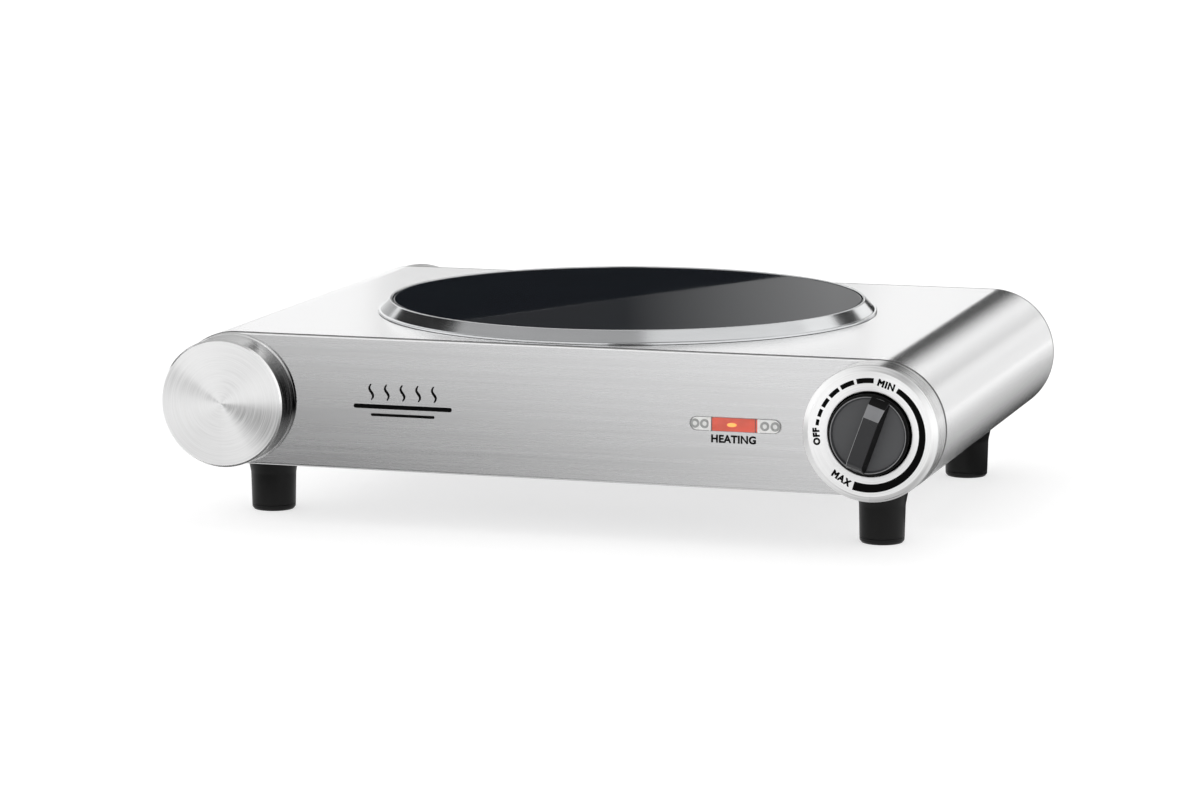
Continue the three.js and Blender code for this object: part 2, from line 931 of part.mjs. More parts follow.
add(hotPlate, "terminal_block", terminalBlock(), steatite);
add(hotPlate, "earth_screw", panScrew(3, 1.8, 1.4, 3).rotateX(Math.PI), brass, 99, 32, coverTop + 3.4);
for (const [name, { finish, route }] of Object.entries(leads)) {
  add(hotPlate, name, lead(route), finish);
}

// ---------------------------------------------------------------- feet and cover screws

const footTop = footHeight - 0.2;

// A moulded foot with a flared neck, a slight taper and a blind hole for its screw.
const foot = () =>
  turned(
    [
      [0, 0],
      [7.5, 0],
      [8.3, 1.1],
      [8.9, footTop - 4.6],
      [9.9, footTop - 0.9],
      [9.9, footTop],
      [2.2, footTop],
      [2.2, 7],
      [0, 7],
    ],
    16,
  );

for (const [side, x] of Object.entries(sides)) {
  for (const [end, y] of Object.entries(ends)) {
    const place = [x * footX, y * footY];
    const screwPlace = [x * coverScrewX, y * coverScrewY];
    const footScrew = panScrew(3.5, 2.1, 1.8, 14.5).rotateX(Math.PI);
    const coverScrew = panScrew(3.2, 1.8, 1.4, 6);
    add(hotPlate, `foot_${end}_${side}`, foot(), blackMatt, ...place, 0);
    add(
      hotPlate,
      `foot_screw_${end}_${side}`,
      footScrew,
      screwSteel,
      ...place,
      footHeight + sheet + 0.2,
    );
    add(
      hotPlate,
      `cover_screw_${end}_${side}`,
      coverScrew,
      screwSteel,
      ...screwPlace,
      footHeight - 0.2,
    );
  }
}

export default hotPlate;
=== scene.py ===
"""Visual model of the single electric hot plate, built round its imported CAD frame.

The casing, caps, cord outlet, trim ring, glass, dial, knob, lamp and feet are remade here as fine
meshes. The other CAD pieces are carried over, and every piece gets a procedural material. Lengths
are in millimetres until a mesh is made, which scales them to metres. Positions and main sizes are
read from the CAD frame.
"""

import json
import math

import bmesh
import bpy
from mathutils import Matrix, Vector


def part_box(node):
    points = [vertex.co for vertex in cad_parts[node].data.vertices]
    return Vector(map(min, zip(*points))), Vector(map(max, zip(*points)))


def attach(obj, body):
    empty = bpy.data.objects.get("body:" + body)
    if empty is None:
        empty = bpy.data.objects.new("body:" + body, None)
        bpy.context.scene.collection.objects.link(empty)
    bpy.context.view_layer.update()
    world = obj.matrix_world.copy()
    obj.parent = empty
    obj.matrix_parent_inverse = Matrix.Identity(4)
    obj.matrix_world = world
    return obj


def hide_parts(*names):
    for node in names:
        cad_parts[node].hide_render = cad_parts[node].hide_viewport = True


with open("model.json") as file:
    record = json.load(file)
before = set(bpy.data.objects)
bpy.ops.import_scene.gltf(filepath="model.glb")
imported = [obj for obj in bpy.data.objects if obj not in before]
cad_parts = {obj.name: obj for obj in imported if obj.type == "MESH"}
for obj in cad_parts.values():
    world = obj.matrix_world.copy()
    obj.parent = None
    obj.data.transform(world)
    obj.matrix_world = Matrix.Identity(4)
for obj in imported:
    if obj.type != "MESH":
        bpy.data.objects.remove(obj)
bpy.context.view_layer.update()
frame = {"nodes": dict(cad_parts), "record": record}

MM = 0.001


# ---------------------------------------------------------------- places, from the CAD frame


def cad(node):
    """A CAD node's lowest corner, highest corner and middle, in millimetres."""
    low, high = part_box(node)
    return low / MM, high / MM, (low + high) / (2 * MM)


panel_low, panel_high, panel_mid = cad("front_panel")
_, rear_high, _ = cad("rear_panel")
shell_low, shell_high, _ = cad("body_shell")
cap_low, _, _ = cad("front_left_cap")
bezel_low, bezel_high, bezel_mid = cad("dial_bezel")
knob_low, _, _ = cad("knob")
_, _, glass_mid = cad("glass_plate")
lens_low, lens_high, lens_mid = cad("indicator_lens")
_, foot_high, _ = cad("foot_front_left")

CASING_RADIUS = (panel_high.z - panel_low.z) / 2
HALF_SPAN = bezel_mid.x
AXIS_Z = panel_mid.z
FRONT = panel_low.y
REAR = rear_high.y
TOP = shell_high.z
MID_Y = glass_mid.y
CAP_REACH = FRONT - cap_low.y
BEZEL_REACH = FRONT - bezel_low.y
GRIP_REACH = FRONT - knob_low.y
KNOB_RIM = 16.4  # the knob's rim in front of the panel
KNOB_RADIUS = 15.4
WELL_RADIUS = 16
INK = 0.03  # how far print stands up
REST_ANGLE = -19.5  # the knob's grip, anticlockwise from upright as seen from the front


def place(x, y, z):
    return Matrix.Translation(Vector((x, y, z)) * MM)


OUTWARD_FRONT = Matrix.Rotation(math.radians(90), 4, "X")
OUTWARD_REAR = Matrix.Rotation(math.radians(180), 4, "Z") @ OUTWARD_FRONT


def front_place(x, z=AXIS_Z):
    """Local X to the right, Y up and Z out of the front panel's face."""
    return place(x, FRONT, z) @ OUTWARD_FRONT


def rear_place(x, z=AXIS_Z):
    """Local X to the left, Y up and Z out of the rear panel's face."""
    return place(x, REAR, z) @ OUTWARD_REAR


# ---------------------------------------------------------------- outlines


def rounded(points, closed=False, steps=5):
    """A polyline whose corners given as (a, b, radius) become arcs."""
    result = []
    count = len(points)
    for i, point in enumerate(points):
        corner = Vector(point[:2])
        radius = point[2] if len(point) > 2 else 0
        if not radius or (not closed and i in (0, count - 1)):
            result.append(corner)
            continue
        before = Vector(points[i - 1][:2]) - corner
        after = Vector(points[(i + 1) % count][:2]) - corner
        half = before.angle(after) / 2
        reach = radius / math.tan(half)
        middle = corner + (before.normalized() + after.normalized()).normalized() * (
            radius / math.sin(half)
        )
        start = corner + before.normalized() * reach - middle
        end = corner + after.normalized() * reach - middle
        turn = start.angle_signed(end)
        for step in range(steps + 1):
            spoke = start.copy()
            spoke.rotate(Matrix.Rotation(-turn * step / steps, 2))
            result.append(middle + spoke)
    return result


def circle(radius, height, segments):
    step = 2 * math.pi / segments
    return [
        Vector((radius * math.cos(i * step), radius * math.sin(i * step), height))
        for i in range(segments)
    ]


def stadium(half, radius, height, arc):
    """Two half circles joined by straight lines along local X."""
    ring = []
    for side in (1, -1):
        for i in range(arc + 1):
            angle = -math.pi / 2 + math.pi * i / arc
            x = half + radius * math.cos(angle)
            ring.append(Vector((side * x, side * radius * math.sin(angle), height)))
    return ring


# ---------------------------------------------------------------- meshes


def finish_mesh(mesh, name, sharp_degrees=32):
    """Merges doubles, points the faces outwards and shades smooth between sharp edges."""
    bmesh.ops.remove_doubles(mesh, verts=mesh.verts, dist=0.0005)
    bmesh.ops.dissolve_degenerate(mesh, edges=mesh.edges, dist=0.0002)
    bmesh.ops.recalc_face_normals(mesh, faces=mesh.faces)
    limit = math.radians(sharp_degrees)
    for face in mesh.faces:
        face.smooth = True
    for edge in mesh.edges:
        edge.smooth = len(edge.link_faces) == 2 and edge.calc_face_angle() < limit
    bmesh.ops.scale(mesh, vec=(MM, MM, MM), verts=mesh.verts)
    data = bpy.data.meshes.new(name)
    mesh.to_mesh(data)
    mesh.free()
    return data


def add_rings(mesh, rings, cycle=False):
    """Quads between neighbouring rings of equal length, each ring closed on itself."""
    rows = [[mesh.verts.new(point) for point in ring] for ring in rings]
    pairs = list(zip(rows, rows[1:]))
    if cycle:
        pairs.append((rows[-1], rows[0]))
    for lower, upper in pairs:
        size = len(lower)
        for i in range(size):
            j = (i + 1) % size
            mesh.faces.new((lower[i], lower[j], upper[j], upper[i]))
    return rows


def turned(name, profile, segments=96, closed=False):
    """A mesh turned about local Z from a profile of (radius, height) with rounded corners."""
    mesh = bmesh.new()
    outline = rounded(profile, closed)
    add_rings(mesh, [circle(max(r, 0.0), h, segments) for r, h in outline], closed)
    return finish_mesh(mesh, name)


def lofted(name, half, profile, arc=40):
    """A closed mesh of stadium outlines, from a profile of (radius, height) along local Z."""
    mesh = bmesh.new()
    rows = add_rings(mesh, [stadium(half, r, h, arc) for r, h in rounded(profile)])
    mesh.faces.new(rows[0])
    mesh.faces.new(rows[-1])
    return finish_mesh(mesh, name)


def prism(name, outline, low, high, bevel=0.0):
    """A flat shape in local XY between two heights, with a small bevel on its upper rim."""
    mesh = bmesh.new()
    base = [mesh.verts.new((x, y, low)) for x, y in outline]
    face = mesh.faces.new(base)
    grown = bmesh.ops.extrude_face_region(mesh, geom=[face])["geom"]
    top = [v for v in grown if isinstance(v, bmesh.types.BMVert)]
    bmesh.ops.translate(mesh, verts=top, vec=(0, 0, high - low))
    if bevel:
        rim = [e for e in mesh.edges if all(v in top for v in e.verts)]
        bmesh.ops.bevel(mesh, geom=rim, offset=bevel, segments=2, affect="EDGES")
    return finish_mesh(mesh, name)


def piece(name, data, matrix, material, body, slot, *nodes):
    """Puts a mesh in the scene as a piece that rides on a CAD body and stands for CAD nodes."""
    obj = bpy.data.objects.new(name, data)
    bpy.context.scene.collection.objects.link(obj)
    obj.matrix_world = matrix
    obj.data.materials.append(material)
    obj.modifiers.new("flat_faces_stay_flat", "WEIGHTED_NORMAL").keep_sharp = True
    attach(obj, body)
    if nodes:
        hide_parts(*nodes)
    return obj


def paint(obj, material, test):
    """Gives another material to the faces whose radius, height and normal pass a test."""
    obj.data.materials.append(material)
    index = len(obj.data.materials) - 1
    for face in obj.data.polygons:
        middle = face.center / MM
        if test(middle.xy.length, middle.z, face.normal):
            face.material_index = index


# ---------------------------------------------------------------- material helpers

RANGE_SOCKETS = ("From Min", "From Max", "To Min", "To Max")


class Shader:
    """A new material with a Principled BSDF, and short ways to add nodes to it."""

    def __init__(self, name, color, roughness, metallic=0.0, **sockets):
        self.material = bpy.data.materials.new(name)
        self.material.use_nodes = True
        self.tree = self.material.node_tree
        self.bsdf = self.tree.nodes["Principled BSDF"]
        self.color = (*color, 1.0)
        self.set(Metallic=metallic, Roughness=roughness, **sockets)
        self.bsdf.inputs["Base Color"].default_value = self.color

    def set(self, **sockets):
        for key, value in sockets.items():
            self.bsdf.inputs[key.replace("_", " ")].default_value = value

    def node(self, kind, **settings):
        node = self.tree.nodes.new("ShaderNode" + kind)
        for key, value in settings.items():
            setattr(node, key, value)
        return node

    def link(self, source, target):
        self.tree.links.new(source, target)

    def coordinates(self, scale=(1, 1, 1), offset=(0, 0, 0)):
        """Object coordinates, moved by an offset in millimetres and then scaled per metre."""
        shift = self.node("Mapping")
        shift.inputs["Location"].default_value = [v * MM for v in offset]
        self.link(self.node("TexCoord").outputs["Object"], shift.inputs["Vector"])
        stretch = self.node("Mapping", vector_type="TEXTURE")
        stretch.inputs["Scale"].default_value = [1 / v for v in scale]
        self.link(shift.outputs["Vector"], stretch.inputs["Vector"])
        return stretch.outputs["Vector"]

    def round_coordinates(self, around, across):
        """Coordinates for turned faces: slow round the local Z axis, fast along the radius."""
        split = self.node("SeparateXYZ")
        self.link(self.node("TexCoord").outputs["Object"], split.inputs[0])
        flat = self.node("CombineXYZ")
        self.link(split.outputs["X"], flat.inputs["X"])
        self.link(split.outputs["Y"], flat.inputs["Y"])
        length = self.node("VectorMath", operation="LENGTH")
        self.link(flat.outputs[0], length.inputs[0])
        spoke = self.node("VectorMath", operation="NORMALIZE")
        self.link(flat.outputs[0], spoke.inputs[0])
        slow = self.node("VectorMath", operation="SCALE")
        slow.inputs["Scale"].default_value = around
        self.link(spoke.outputs[0], slow.inputs[0])
        along = self.math("ADD", length.outputs["Value"], split.outputs["Z"])
        fast = self.math("MULTIPLY", along, across)
        joined = self.node("CombineXYZ")
        parts = self.node("SeparateXYZ")
        self.link(slow.outputs[0], parts.inputs[0])
        self.link(parts.outputs["X"], joined.inputs["X"])
        self.link(parts.outputs["Y"], joined.inputs["Y"])
        self.link(fast, joined.inputs["Z"])
        return joined.outputs[0]

    def math(self, operation, first, second):
        node = self.node("Math", operation=operation)
        for socket, value in zip(node.inputs, (first, second)):
            if isinstance(value, (int, float)):
                socket.default_value = value
            else:
                self.link(value, socket)
        return node.outputs[0]

    def clock_ramp(self, stops):
        """A brightness round the local Z axis, from (clock angle, value) with the top at 0."""
        split = self.node("SeparateXYZ")
        self.link(self.node("TexCoord").outputs["Object"], split.inputs[0])
        angle = self.math("ARCTAN2", split.outputs["X"], split.outputs["Y"])
        turn = self.math("ADD", self.math("DIVIDE", angle, 2 * math.pi), 0.5)
        ramp = self.node("ValToRGB")
        ramp.color_ramp.interpolation = "B_SPLINE"
        marks = ramp.color_ramp.elements
        while len(marks) < len(stops):
            marks.new(0.5)
        for mark, (clock, value) in zip(marks, stops):
            mark.position = clock / 360 + 0.5
            mark.color = (value, value, value, 1)
        self.link(turn, ramp.inputs["Fac"])
        return ramp.outputs["Color"]

    def noise(self, vector, scale=1.0, detail=2.0, roughness=0.5):
        node = self.node("TexNoise")
        node.inputs["Scale"].default_value = scale
        node.inputs["Detail"].default_value = detail
        node.inputs["Roughness"].default_value = roughness
        self.link(vector, node.inputs["Vector"])
        return node.outputs["Fac"]

    def between(self, value, low, high, start=0.3, end=0.7):
        """Maps a noise value from start..end to low..high."""
        node = self.node("MapRange")
        for key, number in zip(RANGE_SOCKETS, (start, end, low, high)):
            node.inputs[key].default_value = number
        self.link(value, node.inputs["Value"])
        return node.outputs["Result"]

    def tint(self, value, low, high):
        """Varies the base colour's brightness from low to high times itself."""
        node = self.node("Mix", data_type="RGBA")
        node.inputs["A"].default_value = [c * low for c in self.color[:3]] + [1]
        node.inputs["B"].default_value = [min(c * high, 1) for c in self.color[:3]] + [1]
        self.link(value, node.inputs["Factor"])
        self.link(node.outputs["Result"], self.bsdf.inputs["Base Color"])

    def roughen(self, value, low, high):
        self.link(self.between(value, low, high), self.bsdf.inputs["Roughness"])

    def bump(self, value, distance):
        """Raises the surface by up to a distance in millimetres."""
        node = self.node("Bump")
        node.inputs["Strength"].default_value = 1.0
        node.inputs["Distance"].default_value = distance * MM
        self.link(value, node.inputs["Height"])
        self.link(node.outputs["Normal"], self.bsdf.inputs["Normal"])

    def tangent(self, direction):
        node = self.node("CombineXYZ")
        for socket, value in zip(node.inputs, direction):
            socket.default_value = value
        self.link(node.outputs[0], self.bsdf.inputs["Tangent"])

    def round_tangent(self):
        node = self.node("Tangent", direction_type="RADIAL", axis="Z")
        self.link(node.outputs[0], self.bsdf.inputs["Tangent"])


# ---------------------------------------------------------------- materials


def brushed_steel(name, grain, spread, color, roughness, anisotropy, streaks):
    """Sheet steel brushed in one direction, with its glint spread across the grain.

    The grain is the texture's scale per metre on each axis of the piece, the spread is the
    direction of the glint in the scene, and the streaks are how much the brightness varies.
    """
    shader = Shader(name, color, roughness, 1.0, Anisotropic=anisotropy)
    lines = shader.coordinates(grain)
    fine = shader.noise(lines, 1.0, 3.0, 0.6)
    broad = shader.noise(lines, 0.22, 2.0)
    mixed = shader.math("MULTIPLY", shader.math("ADD", fine, broad), 0.5)
    shader.tint(shader.between(mixed, 0, 1), 1 - streaks, 1 + streaks)
    shader.roughen(mixed, roughness * (1 - streaks), roughness * (1 + streaks))
    shader.bump(fine, 0.05 * streaks)
    shader.tangent(spread)
    return shader.material


def polished_steel(name, color, roughness):
    """Polished steel with faint turning marks and a little haze."""
    shader = Shader(name, color, roughness, 1.0, Anisotropic=0.4, Anisotropic_Rotation=0.25)
    rings = shader.noise(shader.round_coordinates(2.0, 900), 1.0, 3.0, 0.6)
    haze = shader.noise(shader.coordinates((60, 60, 60)), 1.0, 3.0)
    shader.tint(shader.between(rings, 0, 1), 0.93, 1.03)
    shader.roughen(haze, roughness * 0.8, roughness * 1.3)
    shader.bump(rings, 0.004)
    shader.round_tangent()
    return shader.material


def plain_steel(name, color=(0.5, 0.5, 0.51), roughness=0.42):
    """Unpolished mill-finish steel for the inside and the underside."""
    shader = Shader(name, color, roughness, 1.0)
    mottle = shader.noise(shader.coordinates((120, 120, 120)), 1.0, 5.0, 0.6)
    shader.tint(shader.between(mottle, 0, 1), 0.85, 1.08)
    shader.roughen(mottle, roughness * 0.8, roughness * 1.25)
    shader.bump(mottle, 0.01)
    return shader.material


def spun_steel(name, sectors, color, roughness, metallic=1.0, anisotropy=0.8, **sockets):
    """Turned steel: sectors of painted light and painted shade round its axis, and fine rings
    that show most in the dark sectors.

    The sectors are (clock angle, painted brightness), from -180 to 180 degrees with the top at 0.
    They paint into the base colour the bright and dark stretches that reflections make on turned
    steel.
    """
    shader = Shader(name, color, roughness, metallic, Anisotropic_Rotation=0.25, **sockets)
    shader.set(Anisotropic=anisotropy)
    rings = shader.noise(shader.round_coordinates(0.9, 2200), 1.0, 2.0, 0.6)
    painted_light = shader.clock_ramp(sectors)
    depth = shader.math("SUBTRACT", 1.12, painted_light)
    marks = shader.math("MULTIPLY", shader.between(rings, -0.26, 0.26), depth)
    shader.tint(shader.math("ADD", painted_light, marks), 0, 1)
    shader.roughen(rings, roughness * 0.9, roughness * 1.1)
    shader.bump(rings, 0.006)
    shader.round_tangent()
    return shader.material


def knob_plastic():
    """Satin plastic of the knob's face, with a faint cloudy tone."""
    shader = Shader("knob_satin", (0.062, 0.063, 0.067), 0.42)
    texture = shader.noise(shader.coordinates((1200, 1200, 1200)), 1.0, 2.0)
    cloud = shader.noise(shader.coordinates((60, 60, 60)), 1.0, 2.0)
    shader.tint(shader.between(cloud, 0, 1), 0.88, 1.12)
    shader.roughen(cloud, 0.38, 0.48)
    shader.bump(texture, 0.006)
    return shader.material


def glowing_plastic(name, color, glow, strength):
    """Coloured plastic that glows, with a faint cloudy tone."""
    shader = Shader(name, color, 0.16)
    cloud = shader.noise(shader.coordinates((260, 260, 700)), 1.0, 2.0)
    shader.tint(shader.between(cloud, 0, 1), 0.85, 1.15)
    shader.set(Emission_Color=(*glow, 1), Emission_Strength=strength)
    shader.bump(cloud, 0.01)
    return shader.material


def glass_ceramic():
    """Black glass with a faint orange-peel wave, so that its reflections aren't dead flat."""
    shader = Shader("black_glass_ceramic", (0.009, 0.0115, 0.0155), 0.01, Specular_IOR_Level=0.06)
    wave = shader.noise(shader.coordinates((30, 30, 30)), 1.0, 1.0)
    shader.tint(shader.between(wave, 0, 1), 0.95, 1.05)
    shader.roughen(wave, 0.008, 0.016)
    shader.bump(wave, 0.0004)
    return shader.material


def moulded_plastic(name, color, roughness, grain=900, depth=0.01, **sockets):
    """Moulded plastic with a fine texture and slightly uneven gloss."""
    shader = Shader(name, color, roughness, **sockets)
    texture = shader.noise(shader.coordinates((grain,) * 3), 1.0, 2.0)
    cloud = shader.noise(shader.coordinates((90, 90, 90)), 1.0, 3.0)
    shader.tint(shader.between(cloud, 0, 1), 0.9, 1.1)
    shader.roughen(cloud, roughness * 0.85, roughness * 1.2)
    shader.bump(texture, depth)
    return shader.material


def powdery(name, color, roughness=0.9, grain=400, depth=0.2):
    """Pressed fibre or ceramic with an open, rough surface."""
    shader = Shader(name, color, roughness)
    texture = shader.noise(shader.coordinates((grain,) * 3), 1.0, 6.0, 0.7)
    shader.tint(shader.between(texture, 0, 1), 0.8, 1.1)
    shader.bump(texture, depth)
    return shader.material


# Painted light and shade for the spun steel: the brightness its base colour follows round each axis,
# as (clock angle, value). The cap wall's near-black stretch from 64 to 98 degrees, and the darker
# top and bottom of the bezel's rim and flank, are painted shade.
CAP_PAINTED_LIGHT_SECTORS = (
    (-180, 0.93), (-145, 0.9), (-115, 1.0), (-85, 0.96), (-63, 0.7), (-48, 1.0), (-20, 1.0),
    (34, 0.86), (60, 1.0), (84, 0.96), (97, 0.56), (122, 0.54), (142, 0.92), (155, 1.0),
    (180, 0.92),
)
CAP_WALL_PAINTED_SHADE_SECTORS = (
    (-180, 0.6), (-90, 1.0), (-20, 1.0), (36, 1.0), (50, 0.6), (64, 0.14), (76, 0.02), (98, 0.03),
    (108, 0.5), (122, 0.9), (150, 1.0), (180, 0.8),
)
BEZEL_PAINTED_LIGHT_SECTORS = (
    (-180, 0.86), (-130, 0.97), (-90, 1.0), (-40, 0.97), (-5, 0.72), (25, 0.93), (80, 1.0),
    (105, 0.9), (140, 0.84), (180, 0.86),
)
BEZEL_RIM_PAINTED_SHADE_SECTORS = (
    (-180, 0.6), (-150, 0.8), (-120, 1.0), (-60, 1.0), (-25, 0.9), (0, 0.6), (22, 0.52), (45, 0.85),
    (70, 1.0), (100, 1.0), (125, 0.6), (150, 0.5), (180, 0.6),
)
BEZEL_WALL_PAINTED_SHADE_SECTORS = (
    (-180, 0.3), (-90, 0.9), (-10, 0.9), (12, 0.55), (28, 0.3), (50, 0.75), (95, 0.9), (112, 0.5),
    (132, 0.16), (155, 0.22), (180, 0.3),
)
PALE_STEEL = (0.965, 0.965, 0.968)
# The panels' steel is the shell's steel given a darker colour, as painted shade of the upright
# panels.
PANEL_SHADED_STEEL = (0.71, 0.71, 0.715)
WHITE_STEEL = (0.98, 0.98, 0.98)

MATERIAL_SHELL = brushed_steel(
    "shell_steel", (22, 2400, 22), (0, 1, 0), PALE_STEEL, 0.24, 0.85, 0.014
)
MATERIAL_PANEL = brushed_steel(
    "panel_steel_shaded", (20, 1900, 20), (0, 0, 1), PANEL_SHADED_STEEL, 0.27, 0.7, 0.075
)
# The caps and the bezel get steel whose brightness follows these painted light and shade sectors.
MATERIAL_CAP = spun_steel("cap_steel_painted_light", CAP_PAINTED_LIGHT_SECTORS, WHITE_STEEL, 0.42, 0.45)
MATERIAL_CAP_WALL = spun_steel(
    "cap_wall_steel_painted_shade", CAP_WALL_PAINTED_SHADE_SECTORS, WHITE_STEEL, 0.25, Specular_Tint=(0.36, 0.36, 0.36, 1)
)
MATERIAL_BEZEL = spun_steel("bezel_steel_painted_light", BEZEL_PAINTED_LIGHT_SECTORS, WHITE_STEEL, 0.36, 0.68, 0.5)
MATERIAL_BEZEL_RIM = spun_steel("bezel_rim_steel_painted_shade", BEZEL_RIM_PAINTED_SHADE_SECTORS, WHITE_STEEL, 0.3, 0.6, 0.4)
MATERIAL_BEZEL_WALL = spun_steel("bezel_wall_steel_painted_shade", BEZEL_WALL_PAINTED_SHADE_SECTORS, WHITE_STEEL, 0.28)
MATERIAL_RING = polished_steel("ring_steel", (0.72, 0.73, 0.74), 0.14)
# A brighter, glossier steel laid on edges as a painted highlight line.
MATERIAL_EDGE_HIGHLIGHT = polished_steel("edge_steel_painted_highlight", WHITE_STEEL, 0.2)
MATERIAL_PLAIN = plain_steel("plain_steel")
# Dark grey steel laid where parts meet, as a painted shadow line of the gap.
MATERIAL_SEAM_SHADE = plain_steel("seam_steel_painted_shade", (0.2, 0.2, 0.2), 0.5)
MATERIAL_SCREW = plain_steel("screw_steel", (0.62, 0.62, 0.63), 0.3)
MATERIAL_GLASS = glass_ceramic()
MATERIAL_KNOB = moulded_plastic(
    "knob_black", (0.018, 0.018, 0.02), 0.3, depth=0.003, Specular_IOR_Level=0.35
)
# The knob's own deep black rim, also laid as painted shade on the bezel's well and on the grip's
# sides and pointer end.
MATERIAL_KNOB_BLACK_AND_SHADE = moulded_plastic(
    "knob_black_and_painted_shade", (0.003, 0.003, 0.003), 0.3, depth=0.002, Specular_IOR_Level=0.09
)
# Grey laid on the knob's edges as painted highlight lines.
MATERIAL_KNOB_HIGHLIGHT = moulded_plastic("knob_painted_highlight_grey", (0.22, 0.22, 0.225), 0.3, depth=0.002)
MATERIAL_KNOB_FACE = knob_plastic()
# Lighter grey on the grip's facet, as a painted sheen where it tilts towards the light.
MATERIAL_KNOB_FACET_SHEEN = moulded_plastic("knob_facet_painted_sheen", (0.19, 0.192, 0.2), 0.35, depth=0.002)
MATERIAL_FOOT = moulded_plastic(
    "foot_black", (0.006, 0.006, 0.006), 0.4, Specular_IOR_Level=0.16
)
MATERIAL_BLACK = moulded_plastic("gland_black", (0.015, 0.015, 0.015), 0.5)
MATERIAL_INK = moulded_plastic("ink_black", (0.002, 0.002, 0.002), 0.6, Specular_IOR_Level=0.04)
MATERIAL_CLEAR = moulded_plastic(
    "clear_plastic",
    (0.95, 0.96, 0.96),
    0.06,
    depth=0.001,
    Transmission_Weight=0.95,
    IOR=1.3,
    Specular_IOR_Level=0.12,
)
MATERIAL_PALE = moulded_plastic("pale_plastic", (0.4, 0.41, 0.4), 0.2, depth=0.002)
# Dark grey under the lens's edge, as painted shade that outlines it.
MATERIAL_LENS_EDGE_SHADE = moulded_plastic("lens_edge_painted_shade", (0.2, 0.2, 0.195), 0.2, depth=0.002)
# The white parts round the lamp get a faint painted glow, though they give no light.
MATERIAL_WHITE_GLOW = glowing_plastic("white_plastic_painted_glow", (0.93, 0.92, 0.9), (1.0, 0.98, 0.95), 0.12)
MATERIAL_DARK_RED = moulded_plastic("dark_red_plastic", (0.09, 0.012, 0.01), 0.2, depth=0.002)
MATERIAL_RED = glowing_plastic("red_plastic", (0.62, 0.045, 0.01), (1.0, 0.1, 0.02), 0.22)
MATERIAL_GLOW = glowing_plastic("lamp_glow", (0.9, 0.4, 0.08), (1.0, 0.42, 0.06), 0.8)


# ---------------------------------------------------------------- casing


def rectangle_spokes(count, half_width, half_depth):
    """Where evenly spaced directions from the middle of a rectangle meet its outline."""
    points = []
    for i in range(count):
        angle = 2 * math.pi * i / count
        spoke = Vector((math.cos(angle), math.sin(angle)))
        reach = min(
            half_width / max(abs(spoke.x), 1e-9), half_depth / max(abs(spoke.y), 1e-9)
        )
        points.append(spoke * reach)
    return points


def add_flat_top(mesh, hole, half_depth, height):
    """The top with its round hole: quads out to a rectangle, and a triangle in each corner."""
    count = 120
    edge = rectangle_spokes(count, HALF_SPAN, half_depth)
    inner = [mesh.verts.new((*(p.normalized() * hole), height)) for p in edge]
    outer = [mesh.verts.new((*p, height)) for p in edge]
    for i in range(count):
        j = (i + 1) % count
        mesh.faces.new((inner[i], inner[j], outer[j], outer[i]))
    for sx in (-1, 1):
        for sy in (-1, 1):
            corner = mesh.verts.new((sx * HALF_SPAN, sy * half_depth, height))
            near = sorted(outer, key=lambda v: (v.co - corner.co).length)
            side = next(v for v in near if abs(v.co.x - corner.co.x) < 1e-6)
            end = next(v for v in near if abs(v.co.y - corner.co.y) < 1e-6)
            if side is not end:
                mesh.faces.new((corner, side, end))


def add_round_side(mesh, side, radius, flange):
    """A half round side and the flange under it, in line with the top's points on that side."""
    arc = 40
    column = [v for v in mesh.verts if abs(v.co.x - side * HALF_SPAN) < 1e-6]
    column = [v for v in column if abs(v.co.z - radius) < 1e-6]
    levels = sorted({round(v.co.y, 6) for v in column})
    rows = []
    for k in range(arc + 1):
        angle = math.pi / 2 - math.pi * k / arc
        x = side * (HALF_SPAN + radius * math.cos(angle))
        rows.append([(x, y, radius * math.sin(angle)) for y in levels])
    rows.append([(side * flange, y, -radius) for y in levels])
    grid = [[mesh.verts.new(p) for p in row] for row in rows]
    for upper, lower in zip(grid, grid[1:]):
        for i in range(len(levels) - 1):
            mesh.faces.new((upper[i], upper[i + 1], lower[i + 1], lower[i]))


def shell_mesh():
    """The wrapped sheet: a flat top with the round hole, two round sides and two lower flanges."""
    hole = 96
    flange = 108
    sheet = 0.8
    seam = 0.6
    half_depth = (shell_high.y - shell_low.y) / 2 - seam
    mesh = bmesh.new()
    add_flat_top(mesh, hole, half_depth, CASING_RADIUS)
    for side in (-1, 1):
        add_round_side(mesh, side, CASING_RADIUS, flange)
    bmesh.ops.remove_doubles(mesh, verts=mesh.verts, dist=0.001)
    bmesh.ops.recalc_face_normals(mesh, faces=mesh.faces)
    bmesh.ops.solidify(mesh, geom=mesh.faces, thickness=sheet)
    return finish_mesh(mesh, "body_shell")


def panel_mesh(name):
    """An end panel: a stadium plate with a rolled rim and a flange behind it.

    The plate has none of the CAD panel's holes. The shaft, screws, gland and lamp go through it.
    """
    rim = 1.0
    plate = 1.2
    inset = 1.2
    sheet = 0.8
    depth = 8
    radius = CASING_RADIUS
    flange = radius - inset
    profile = [
        (0.01, 0),
        (radius, 0, rim),
        (radius, -plate),
        (flange, -plate),
        (flange, -depth),
        (flange - sheet, -depth),
        (flange - sheet, -plate),
        (0.01, -plate),
    ]
    return lofted(name, HALF_SPAN, profile)


